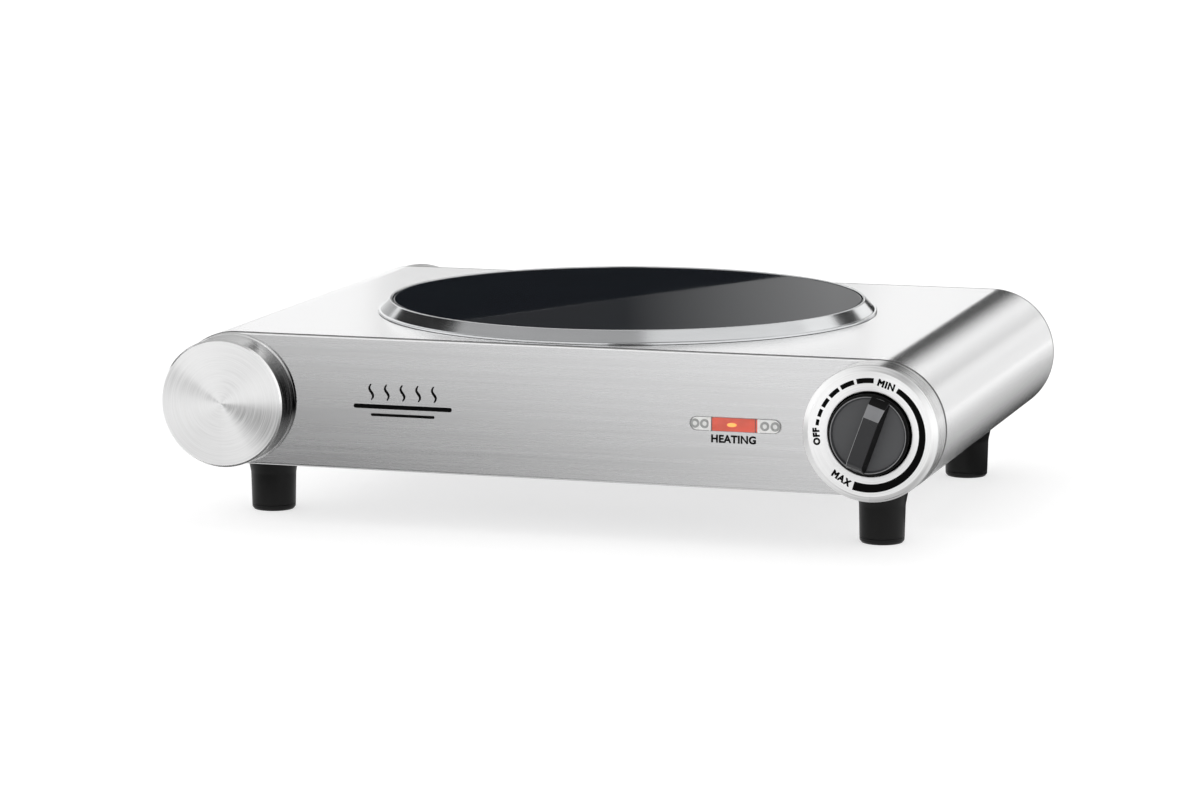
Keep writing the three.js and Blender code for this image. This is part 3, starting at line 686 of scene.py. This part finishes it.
def build_casing():
    centre = place(0, MID_Y, AXIS_Z)
    mesh = shell_mesh()
    piece("casing_shell", mesh, centre, MATERIAL_SHELL, "base", "casing_steel", "body_shell")
    for name, node, matrix in (
        ("casing_front", "front_panel", front_place(0)),
        ("casing_rear", "rear_panel", rear_place(0)),
    ):
        panel = piece(
            name, panel_mesh(name), matrix, MATERIAL_PANEL, "base", "casing_steel", node
        )
        # Painted highlight and shade on the rolled rim: its top gets the brighter steel as a
        # highlight line, and its outer side all round a dark grey seam as painted shade.
        paint(
            panel,
            MATERIAL_EDGE_HIGHLIGHT,
            lambda radius, height, normal: normal.y > 0.3 and normal.z < 0.95,
        )
        paint(panel, MATERIAL_SEAM_SHADE, lambda radius, height, normal: normal.z < 0.5)


# ---------------------------------------------------------------- round caps and cord outlet


def cap_mesh(name):
    profile = [
        (0, CAP_REACH),
        (24.35, CAP_REACH),
        (25.05, CAP_REACH - 0.7, 0.2),
        (25.05, 2.7, 0.3),
        (25.6, 2.3, 0.2),
        (25.6, 0.3),
        (23.9, 0.3),
        (23.9, CAP_REACH - 1.2),
        (4, CAP_REACH - 1.2),
        (4, 0.5),
        (1.7, 0.5),
        (1.7, 9),
        (0, 9),
    ]
    return turned(name, profile, 144)


def build_caps():
    for name, node, matrix in (
        ("cap_front_left", "front_left_cap", front_place(-HALF_SPAN)),
        ("cap_rear_left", "rear_left_cap", rear_place(-HALF_SPAN)),
    ):
        cap = piece(name, cap_mesh(name), matrix, MATERIAL_CAP, "base", "spun_steel", node)
        # Its mirror image in the brushed panel came out much darker than the photo's.
        cap.visible_glossy = False
        # Painted light and shade on the cap: the wall follows painted shade sectors, its base gets a
        # dark grey seam line as painted shade, and the face's bevel a brighter steel as a painted
        # highlight.
        paint(cap, MATERIAL_CAP_WALL, lambda radius, height, normal: radius > 23 and normal.z < 0.9)
        paint(cap, MATERIAL_SEAM_SHADE, lambda radius, height, normal: radius > 23 and height < 0.6)
        paint(
            cap,
            MATERIAL_EDGE_HIGHLIGHT,
            lambda radius, height, normal: height > 5 and 0.4 <= normal.z < 0.98,
        )


def build_cord_outlet():
    cover = [
        (8.2, 0.3),
        (23.6, 0.3),
        (23.6, 1.2, 0.3),
        (22.9, 2.6, 0.8),
        (20.4, 2.6),
        (20.0, 2.2),
        (19.6, 2.6),
        (8.2, 2.6),
    ]
    matrix = rear_place(HALF_SPAN)
    mesh = turned("cord_outlet_cover", cover, 96, closed=True)
    # The cover takes the bezel's steel, with its sectors of painted light and shade.
    piece("cord_outlet_cover", mesh, matrix, MATERIAL_BEZEL, "base", "casing_steel", "cord_cover")
    gland = [
        (3.8, -9),
        (7.7, -9),
        (7.7, 2.9),
        (10.5, 2.9, 0.3),
        (10.5, 4.6, 0.6),
        (7.8, 5.4, 0.4),
        (7.2, 7.4),
        (6.7, 7.6),
        (6.9, 8.8),
        (6.5, 9.0),
        (6.6, 10.2),
        (6.2, 10.4),
        (6.2, 13.1, 0.7),
        (3.8, 13.1, 0.5),
    ]
    mesh = turned("cord_gland_body", gland, 64, closed=True)
    piece("cord_gland_body", mesh, matrix, MATERIAL_BLACK, "base", "black_matt", "cord_gland")


# ---------------------------------------------------------------- cooking surface


def build_cooking_surface():
    matrix = place(0, MID_Y, TOP)
    ring = [
        (88, -1.4),
        (95.5, -1.4),
        (95.5, 3.9),
        (99.2, 0.2),
        (100.5, 0.2),
        (100.5, 0.85, 0.25),
        (99.4, 1.0, 0.4),
        (95.9, 5.2, 0.5),
        (94.8, 5.2, 0.3),
        (94.8, -0.6),
        (88, -0.6),
    ]
    mesh = turned("trim_ring_steel", ring, 192, closed=True)
    piece("trim_ring_steel", mesh, matrix, MATERIAL_RING, "base", "trim_steel", "trim_ring")
    glass = [(0, 0.9), (94.5, 0.9, 0.3), (94.5, 4.9, 0.7), (0, 4.9)]
    mesh = turned("glass_disc", glass, 192)
    piece("glass_disc", mesh, matrix, MATERIAL_GLASS, "base", "black_glass", "glass_plate")


# ---------------------------------------------------------------- dial and knob

DIAL = front_place(HALF_SPAN)


def build_bezel():
    outer = (bezel_high.z - bezel_low.z) / 2
    wall = 1.1
    back = 0.2
    sleeve = 5.6
    profile = [
        (sleeve, back),
        (WELL_RADIUS + wall, back),
        (WELL_RADIUS + wall, BEZEL_REACH - wall),
        (22.8, BEZEL_REACH - wall),
        (outer - wall, BEZEL_REACH - 2.8),
        (outer - wall, back),
        (outer, back),
        (outer, BEZEL_REACH - wall, 0.6),
        (23.6, BEZEL_REACH, 0.35),
        (WELL_RADIUS, BEZEL_REACH, 0.45),
        (WELL_RADIUS, back + wall, 0.3),
        (sleeve, back + wall),
    ]
    mesh = turned("dial_bezel_steel", profile, 160, closed=True)
    bezel = piece(
        "dial_bezel_steel", mesh, DIAL, MATERIAL_BEZEL, "base", "casing_steel", "dial_bezel"
    )
    lip = WELL_RADIUS + 0.1
    # The well round the knob is painted deep black as painted shade of the gap, and the flank and
    # the rim bevel get steel with painted light and shade sectors.
    paint(bezel, MATERIAL_KNOB_BLACK_AND_SHADE, lambda radius, height, normal: radius < lip)
    paint(bezel, MATERIAL_BEZEL_WALL, lambda radius, height, normal: radius > 24 and normal.z < 0.6)
    paint(
        bezel,
        MATERIAL_BEZEL_RIM,
        lambda radius, height, normal: radius > 21 and 0.6 <= normal.z < 0.985,
    )


def band(name, start, end, inner, outer, inner_end=None, outer_end=None):
    """A printed arc on the bezel's face, clockwise from the top between two angles."""
    steps = max(4, int(abs(end - start) / 2))
    outside, inside = [], []
    for i in range(steps + 1):
        t = i / steps
        angle = math.radians(start + (end - start) * t)
        r_in = inner + ((inner_end or inner) - inner) * t
        r_out = outer + ((outer_end or outer) - outer) * t
        outside.append((r_out * math.sin(angle), r_out * math.cos(angle)))
        inside.append((r_in * math.sin(angle), r_in * math.cos(angle)))
    return prism(name, outside + inside[::-1], BEZEL_REACH - 0.02, BEZEL_REACH + INK)


def embolden(mesh, weight):
    """Moves the outline of flat shapes outwards, so that their strokes get thicker."""
    outwards = {}
    for edge in mesh.edges:
        if not edge.is_boundary:
            continue
        start, end = (vertex.co for vertex in edge.verts)
        outward = Vector((end.y - start.y, start.x - end.x, 0)).normalized()
        if outward.dot(edge.link_faces[0].calc_center_median() - start) > 0:
            outward.negate()
        for vertex in edge.verts:
            outwards.setdefault(vertex, []).append(outward)
    for vertex, (first, second) in outwards.items():
        vertex.co += (first + second) * weight / max(1 + first.dot(second), 0.7)


def lettering(name, text, height, matrix, weight=0.068, spacing=1.18):
    """Printed capitals as a thin mesh, centred in its local XY plane.

    The letters are made large, so that their outlines stay clean, and then scaled down. The
    weight is how far a stroke grows, as a share of the letters' size.
    """
    curve = bpy.data.curves.new(name, "FONT")
    curve.body = text
    curve.align_x = "CENTER"
    curve.align_y = "CENTER"
    curve.space_character = spacing
    curve.resolution_u = 6
    source = bpy.data.objects.new(name + "_curve", curve)
    bpy.context.scene.collection.objects.link(source)
    bpy.context.view_layer.update()
    evaluated = source.evaluated_get(bpy.context.evaluated_depsgraph_get())
    flat = bpy.data.meshes.new_from_object(evaluated)
    bpy.data.objects.remove(source)
    mesh = bmesh.new()
    mesh.from_mesh(flat)
    bpy.data.meshes.remove(flat)
    bmesh.ops.remove_doubles(mesh, verts=mesh.verts, dist=0.0005)
    embolden(mesh, weight)
    tall = max(v.co.y for v in mesh.verts) - min(v.co.y for v in mesh.verts)
    bmesh.ops.scale(mesh, vec=(height / tall,) * 3, verts=mesh.verts)
    grown = bmesh.ops.extrude_face_region(mesh, geom=mesh.faces[:])["geom"]
    top = [v for v in grown if isinstance(v, bmesh.types.BMVert)]
    bmesh.ops.translate(mesh, verts=top, vec=(0, 0, INK))
    return piece(name, finish_mesh(mesh, name), matrix, MATERIAL_INK, "base", "black_matt")


def build_scale():
    """The dial's printed scale: growing dashes up to MIN, then a widening arc to MAX."""
    radius = 20.2
    dashes = ((-83, -76.5), (-73.5, -65), (-62, -51.5), (-48.5, -36), (-33, -17.5), (-14.5, 4))
    for i, (start, end) in enumerate(dashes):
        half = 0.62 + 0.07 * i
        name = f"scale_dash_{i + 1}"
        mesh = band(name, start, end, radius - half, radius + half)
        piece(name, mesh, DIAL, MATERIAL_INK, "base", "black_matt")
    mesh = band("scale_arc", 31.5, 197, 18.75, 20.8, 18.8, 22.1)
    piece("scale_arc", mesh, DIAL, MATERIAL_INK, "base", "black_matt")
    for text, angle, radius in (("OFF", -95, 20.2), ("MIN", 18.2, 19.6), ("MAX", 212, 20.2)):
        turn = Matrix.Rotation(-math.radians(angle), 4, "Z")
        flip = Matrix.Rotation(math.radians(180 if text == "MAX" else 0), 4, "Z")
        spot = turn @ place(0, radius, BEZEL_REACH) @ flip
        lettering("scale_" + text.lower(), text, 2.75, DIAL @ spot)


def knob_shell_mesh():
    profile = [
        (0, KNOB_RIM - 1.7),
        (13.7, KNOB_RIM - 1.4, 0.4),
        (14.2, KNOB_RIM - 0.1, 0.15),
        (14.6, KNOB_RIM, 0.15),
        (14.8, KNOB_RIM - 0.5, 0.1),
        (KNOB_RADIUS, KNOB_RIM - 0.7, 0.3),
        (KNOB_RADIUS, 4.2, 0.4),
        (13.8, 4.2),
        (13.8, KNOB_RIM - 4),
        (6, KNOB_RIM - 4),
        (6, 4.6),
        (3.3, 4.6),
        (3.3, KNOB_RIM - 5),
        (0, KNOB_RIM - 5),
    ]
    return turned("knob_shell", profile, 144)


def grip_mesh():
    """The raised bar, as cross-sections along it, with a facet at its pointer end."""
    base = KNOB_RIM - 2.3
    side = [
        (-14.4, KNOB_RIM + 0.1),
        (-12.6, GRIP_REACH - 1.6, 1.2),
        (-11.0, GRIP_REACH, 1.5),
        (7.4, GRIP_REACH, 0.6),
        (12, GRIP_REACH - 2.6, 0.3),
        (13.2, GRIP_REACH - 4.6, 0.6),
        (14.4, KNOB_RIM + 0.1),
    ]
    half_base, draft, edge = 3.9, 0.1, 0.4
    mesh = bmesh.new()
    rings = []
    for u, height in rounded(side, steps=6):
        half_top = half_base - (height - base) * draft
        section = rounded(
            [
                (-half_base, base),
                (half_base, base),
                (half_top, height, edge),
                (-half_top, height, edge),
            ],
            closed=True,
            steps=4,
        )
        rings.append([Vector((x, u, z)) for x, z in section])
    rows = add_rings(mesh, rings)
    mesh.faces.new(rows[0])
    mesh.faces.new(rows[-1])
    return finish_mesh(mesh, "knob_grip", 24)


def build_knob():
    turn = DIAL @ Matrix.Rotation(math.radians(REST_ANGLE), 4, "Z")
    mesh = knob_shell_mesh()
    knob = piece("knob_shell", mesh, turn, MATERIAL_KNOB_BLACK_AND_SHADE, "knob", "black_gloss", "knob")
    in_face = KNOB_RIM - 1.8
    paint(knob, MATERIAL_KNOB_FACE, lambda radius, height, normal: height > in_face and radius < 14)
    # The lip round the face gets a grey painted highlight line.
    paint(
        knob,
        MATERIAL_KNOB_HIGHLIGHT,
        lambda radius, height, normal: height > in_face and 14 < radius < 14.5,
    )
    grip = piece("knob_grip", grip_mesh(), turn, MATERIAL_KNOB, "knob", "black_gloss")
    crest = KNOB_RIM + 2.5
    # On the grip: the sides and pointer end are painted deeper black as painted shade, the facet
    # lighter grey as a painted sheen, and the upper, left and facet-bordering bevels grey painted
    # highlight lines.
    paint(grip, MATERIAL_KNOB_BLACK_AND_SHADE, lambda radius, height, normal: normal.z < 0.3 or normal.y > 0.7)
    paint(
        grip,
        MATERIAL_KNOB_FACET_SHEEN,
        lambda radius, height, normal: normal.z > 0.8 and normal.y > 0.4,
    )
    paint(
        grip,
        MATERIAL_KNOB_HIGHLIGHT,
        lambda radius, height, normal: height > crest
        and 0.3 < normal.z
        and (
            (normal.x < -0.2 and normal.z < 0.95)
            or 0.06 < normal.y < 0.42
            or (normal.x > 0.25 and 0.15 < normal.y < 0.7)
        ),
    )


# ---------------------------------------------------------------- indicator


def lens_part(name, half, radius, low, high, dome=0.0):
    """A rounded bar of the lamp, with a crowned front."""
    profile = [
        (0.01, high),
        (radius * 0.6, high - dome * 0.3),
        (radius * 0.9, high - dome),
        (radius, high - dome * 1.6 - 0.1),
        (radius, low),
        (0.01, low),
    ]
    return lofted(name, half, profile, arc=16)


def rectangle(left, right, half_height):
    return [(left, -half_height), (right, -half_height), (right, half_height), (left, half_height)]


def build_indicator():
    """The lamp: a red window between pale ends with moulded bosses, under a clear lens."""
    matrix = front_place(lens_mid.x, lens_mid.z)
    radius = (lens_high.z - lens_low.z) / 2
    half = (lens_high.x - lens_low.x) / 2 - radius
    lens = piece(
        "lamp_lens",
        lens_part("lamp_lens", half, radius, -0.6, 0.98, 0.35),
        matrix,
        MATERIAL_CLEAR,
        "base",
        "clear_plastic",
        "indicator_lens",
    )
    # The window sits behind the lens, and would be in its shadow.
    lens.visible_shadow = False
    # The reflector and the lips glow faintly with painted light.
    back = lens_part("lamp_reflector", half - 0.2, radius - 0.35, 0.02, 0.1)
    piece("lamp_reflector", back, matrix, MATERIAL_WHITE_GLOW, "base", "clear_plastic")
    # A dark grey frame shows round the reflector as painted shade of the lens's edge.
    frame_mesh = lens_part("lamp_frame", half, radius - 0.05, -0.5, 0.04)
    piece("lamp_frame", frame_mesh, matrix, MATERIAL_LENS_EDGE_SHADE, "base", "clear_plastic")
    low, high = -9.3, 8.6
    window = rectangle(low, high, radius * 0.87)
    mesh = prism("lamp_window", window, 0.12, 0.62, 0.25)
    piece("lamp_window", mesh, matrix, MATERIAL_RED, "base", "red_plastic", "indicator_window")
    for name, x in (("lamp_lip_left", low - 0.65), ("lamp_lip_right", high + 0.75)):
        mesh = prism(name, rectangle(x - 0.35, x + 0.35, radius * 0.9), 0.12, 0.55, 0.1)
        piece(name, mesh, matrix, MATERIAL_WHITE_GLOW, "base", "clear_plastic")
    for name, x in (("lamp_notch_left", low + 0.3), ("lamp_notch_right", high - 0.5)):
        mesh = prism(name, rectangle(x - 0.3, x + 0.2, radius * 0.9), 0.12, 0.64, 0.1)
        piece(name, mesh, matrix, MATERIAL_DARK_RED, "base", "red_plastic")
    for i, x in enumerate((-half - 0.6, -half + 3.2, half - 3.6, half + 0.4)):
        name = f"lamp_boss_{i + 1}"
        ring = [(0.9, 0.1), (1.75, 0.1), (1.75, 0.5, 0.15), (0.9, 0.5, 0.15)]
        mesh = turned(name, ring, 32, closed=True)
        spot = front_place(lens_mid.x + x, lens_mid.z)
        piece(name, mesh, spot, MATERIAL_PALE, "base", "clear_plastic")
    glow = turned("lamp_glow", [(0, 0.72), (0.7, 0.7, 0.1), (0.8, 0.6), (0, 0.6)], 32)
    stretched = front_place(lens_mid.x - 1.2, lens_mid.z) @ Matrix.Diagonal((2.4, 1, 1, 1))
    piece("lamp_glow", glow, stretched, MATERIAL_GLOW, "base", "lamp_glass")
    label = front_place(lens_mid.x - 0.7, lens_mid.z - 5.75)
    lettering("lamp_label", "HEATING", 3.15, label, 0.045, 1.06)


def wave_outline(x, low, high, sway, width):
    """The outline of a rising S-shaped line of even width."""
    steps = 24
    sides = ([], [])
    for i in range(steps + 1):
        t = i / steps
        turn = 2 * math.pi * t
        slope = Vector((sway * 2 * math.pi * math.cos(turn), high - low)).normalized()
        middle = Vector((x + sway * math.sin(turn), low + (high - low) * t))
        half = width / 2 * (0.45 + 0.55 * math.sin(math.pi * t))
        sides[0].append(middle + Vector((slope.y, -slope.x)) * half)
        sides[1].append(middle - Vector((slope.y, -slope.x)) * half)
    return [tuple(point) for point in sides[0] + sides[1][::-1]]


def rounded_bar(half, low, high, corner):
    points = [(-half, low, corner), (half, low, corner), (half, high, corner), (-half, high, corner)]
    return rounded(points, closed=True)


def build_pictogram():
    """A plain printed sign on the front panel: heat rising from a plate on its stand."""
    matrix = front_place(-59.5)
    shapes = {
        "sign_plate": rounded_bar(20, -1.7, 0, 0.7),
        "sign_stand": rounded_bar(13, -4.6, -3.5, 0.5),
    }
    for i in range(5):
        shapes[f"sign_wave_{i + 1}"] = wave_outline(6.4 * (i - 2), 1.7, 7.9, 0.75, 1.05)
    for name, outline in shapes.items():
        mesh = prism(name, [tuple(p) for p in outline], 0, INK)
        piece(name, mesh, matrix, MATERIAL_INK, "base", "black_matt")


# ---------------------------------------------------------------- feet


def foot_mesh(name):
    """A tapered stub with a flared collar on top and a small step above its base."""
    height = foot_high.z
    profile = [
        (0, 0),
        (7.9, 0),
        (8.6, 0.9, 0.5),
        (8.65, 2.0),
        (8.5, 2.15),
        (8.68, 2.35),
        (8.95, height - 7.4, 6),
        (9.9, height - 2.6, 1),
        (9.9, height),
        (2.2, height),
        (2.2, 7),
        (0, 7),
    ]
    return turned(name, profile, 96)


def build_feet():
    for corner in ("front_left", "front_right", "rear_left", "rear_right"):
        node = "foot_" + corner
        middle = cad(node)[2]
        name = "stub_" + corner
        matrix = place(middle.x, middle.y, 0)
        piece(name, foot_mesh(name), matrix, MATERIAL_FOOT, "base", "foot_plastic", node)


# ---------------------------------------------------------------- inner CAD pieces


def dress_cad_nodes():
    """Gives each carried-over CAD node a procedural material by its slot in the record."""
    looks = {
        "inner_steel": MATERIAL_PLAIN,
        "screw_steel": MATERIAL_SCREW,
        "casing_steel": MATERIAL_PLAIN,
        # Spun steel carries the cap's painted light and shade sectors.
        "spun_steel": MATERIAL_CAP,
        "trim_steel": MATERIAL_RING,
        "heater_alloy": plain_steel("heater_alloy", (0.25, 0.23, 0.21), 0.5),
        "brass": plain_steel("brass", (0.7, 0.52, 0.24), 0.32),
        "black_glass": MATERIAL_GLASS,
        "clear_plastic": MATERIAL_CLEAR,
        "red_plastic": MATERIAL_RED,
        "lamp_glass": MATERIAL_GLOW,
        "black_gloss": MATERIAL_KNOB,
        "black_matt": MATERIAL_BLACK,
        "foot_plastic": MATERIAL_FOOT,
        "phenolic": moulded_plastic("phenolic", (0.04, 0.028, 0.024), 0.45),
        "white_nylon": moulded_plastic("white_nylon", (0.72, 0.71, 0.66), 0.45),
        "silicone": moulded_plastic("silicone", (0.03, 0.03, 0.03), 0.7),
        "insulation": powdery("insulation", (0.7, 0.66, 0.58)),
        "steatite": powdery("steatite", (0.78, 0.75, 0.68), 0.6, 900, 0.03),
        "live_sleeve": moulded_plastic("live_sleeve", (0.2, 0.08, 0.035), 0.5),
        "neutral_sleeve": moulded_plastic("neutral_sleeve", (0.03, 0.08, 0.26), 0.5),
        "earth_sleeve": moulded_plastic("earth_sleeve", (0.12, 0.32, 0.05), 0.5),
    }
    slots = {row["node"]: row["material_slot"] for row in frame["record"]["subparts"]}
    for name, node in frame["nodes"].items():
        node.data.materials.clear()
        node.data.materials.append(looks[slots[name]])


# ---------------------------------------------------------------- camera and studio


def build_camera():
    azimuth, elevation = math.radians(16.78), math.radians(9.05)
    distance = 1.799
    target = Vector((-0.0116, MID_Y * MM, 0.0368))
    back = Vector(
        (
            math.sin(azimuth) * math.cos(elevation),
            -math.cos(azimuth) * math.cos(elevation),
            math.sin(elevation),
        )
    )
    data = bpy.data.cameras.new("camera")
    data.sensor_width = 36
    data.lens = 133.1
    camera = bpy.data.objects.new("camera", data)
    camera.location = target + back * distance
    camera.rotation_mode = "QUATERNION"
    camera.rotation_quaternion = (-back).to_track_quat("-Z", "Y")
    bpy.context.scene.collection.objects.link(camera)
    bpy.context.scene.camera = camera


def stage_plane(name, corners, material):
    mesh = bpy.data.meshes.new(name)
    mesh.from_pydata(corners, [], [tuple(range(len(corners)))])
    obj = bpy.data.objects.new(name, mesh)
    obj.data.materials.append(material)
    bpy.context.scene.collection.objects.link(obj)
    return obj


def card(name, corners, left, right=None, ramp=None):
    """A studio card that only shows in reflections, through four corners in millimetres.

    The corners go round from the lower left. Its brightness runs from left to right, over the
    whole card or between the two places of the ramp.
    """
    material = bpy.data.materials.new(name)
    material.use_nodes = True
    tree = material.node_tree
    tree.nodes.clear()
    place_on_card = tree.nodes.new("ShaderNodeTexCoord")
    split = tree.nodes.new("ShaderNodeSeparateXYZ")
    tree.links.new(place_on_card.outputs["Object"], split.inputs[0])
    fade = tree.nodes.new("ShaderNodeMapRange")
    start, end = Vector(corners[0]), Vector(corners[1])
    axis = max(range(3), key=lambda i: abs(end[i] - start[i]))
    tree.links.new(split.outputs[axis], fade.inputs["Value"])
    first, last = ramp or (start[axis], end[axis])
    light_range = (first * MM, last * MM, left, left if right is None else right)
    for key, value in zip(RANGE_SOCKETS, light_range):
        fade.inputs[key].default_value = value
    light = tree.nodes.new("ShaderNodeEmission")
    tree.links.new(fade.outputs["Result"], light.inputs["Strength"])
    output = tree.nodes.new("ShaderNodeOutputMaterial")
    tree.links.new(light.outputs[0], output.inputs["Surface"])
    obj = stage_plane(name, [Vector(corner) * MM for corner in corners], material)
    obj.visible_camera = False
    obj.visible_diffuse = False
    obj.visible_shadow = False
    obj.visible_transmission = False


def standing_card(name, azimuth, distance, low, high, left, right=None):
    """An upright card between two azimuths, whose edges are seen at two elevations.

    Azimuth is in degrees clockwise from straight behind the object, seen from above.
    """
    heights = [60 + distance * math.tan(math.radians(e)) for e in (low, high)]
    ends = [
        (distance * math.sin(math.radians(a)), distance * math.cos(math.radians(a)))
        for a in azimuth
    ]
    corners = [(*ends[0], heights[0]), (*ends[1], heights[0]), (*ends[1], heights[1])]
    card(name, [*corners, (*ends[0], heights[1])], left, right)


def floor_card(name, x, y, left, right, ramp=None):
    """A card that lies just over the floor."""
    corners = [(x[0], y[0], 1), (x[1], y[0], 1), (x[1], y[1], 1), (x[0], y[1], 1)]
    card(name, corners, left, right, ramp)


def build_cards():
    """Dark and grey cards, which give the steel and the glass something to mirror."""
    standing_card("card_behind", (-7.8, 3.6), 3000, -2, 45, 0.0)
    standing_card("card_left", (-88, -52), 2000, 12, 45, 0.03)
    standing_card("card_left_behind", (-48, -27), 2400, -4, 14, 0.35, 0.85)
    standing_card("card_right_behind", (19, 34), 3000, 14, 30, 0.05)
    standing_card("card_right_low", (17.5, 30), 3100, -4, 10, 0.64)
    standing_card("card_front_right", (172, 154), 2600, 0, 45, 0.02)
    over = [(-2300, -1400), (380, -1400), (380, 1400), (-2300, 1400)]
    card("card_over", [(x, y, 1900) for x, y in over], 0.45)
    beside = [(380, -1400), (2800, -1400), (2800, 1400), (380, 1400)]
    card("card_over_right", [(x, y, 1900) for x, y in beside], 0.88)
    horizon = [(-1180, 3000, 230), (-600, 3000, 230), (-600, 3000, 450), (-1180, 3000, 560)]
    card("card_horizon_dark", horizon, 0.01)
    glow = [(-1180, 2999, 560), (-600, 2999, 450), (-600, 2999, 530), (-1180, 2999, 600)]
    card("card_horizon_glow", glow, 0.06, 0.54, (-885, -645))
    floor_card("card_floor_near", (-1100, 700), (-330, -110), 0.04, 0.66, (-135, 100))
    floor_card("card_floor_far", (-1100, 700), (-620, -330), 0.56, 1.18, (-260, 0))
    floor_card("card_floor_right", (130, 188), (-40, 420), 0.02, 0.52, (166, 188))
    floor_card("card_floor_far_right", (188, 420), (-40, 800), 0.52, 0.9)


def build_studio():
    world = bpy.data.worlds.new("studio")
    world.use_nodes = True
    background = world.node_tree.nodes["Background"]
    background.inputs["Color"].default_value = (1, 1, 1, 1)
    background.inputs["Strength"].default_value = 1.06
    bpy.context.scene.world = world
    bpy.context.scene.view_settings.view_transform = "Standard"
    pale = Shader("floor_pale", (0.45, 0.45, 0.45), 0.9)
    pale.set(Emission_Color=(1, 1, 1, 1), Emission_Strength=0.62)
    haze = pale.noise(pale.coordinates((3, 3, 3)), 1.0, 2.0)
    pale.tint(pale.between(haze, 0, 1), 0.995, 1.005)
    size = 12
    floor = [(-size, -size, 0), (size, -size, 0), (size, size, 0), (-size, size, 0)]
    stage_plane("floor", floor, pale.material)
    build_cards()


build_camera()
build_studio()
build_casing()
build_caps()
build_cord_outlet()
build_cooking_surface()
build_bezel()
build_scale()
build_knob()
build_indicator()
build_pictogram()
build_feet()
dress_cad_nodes()
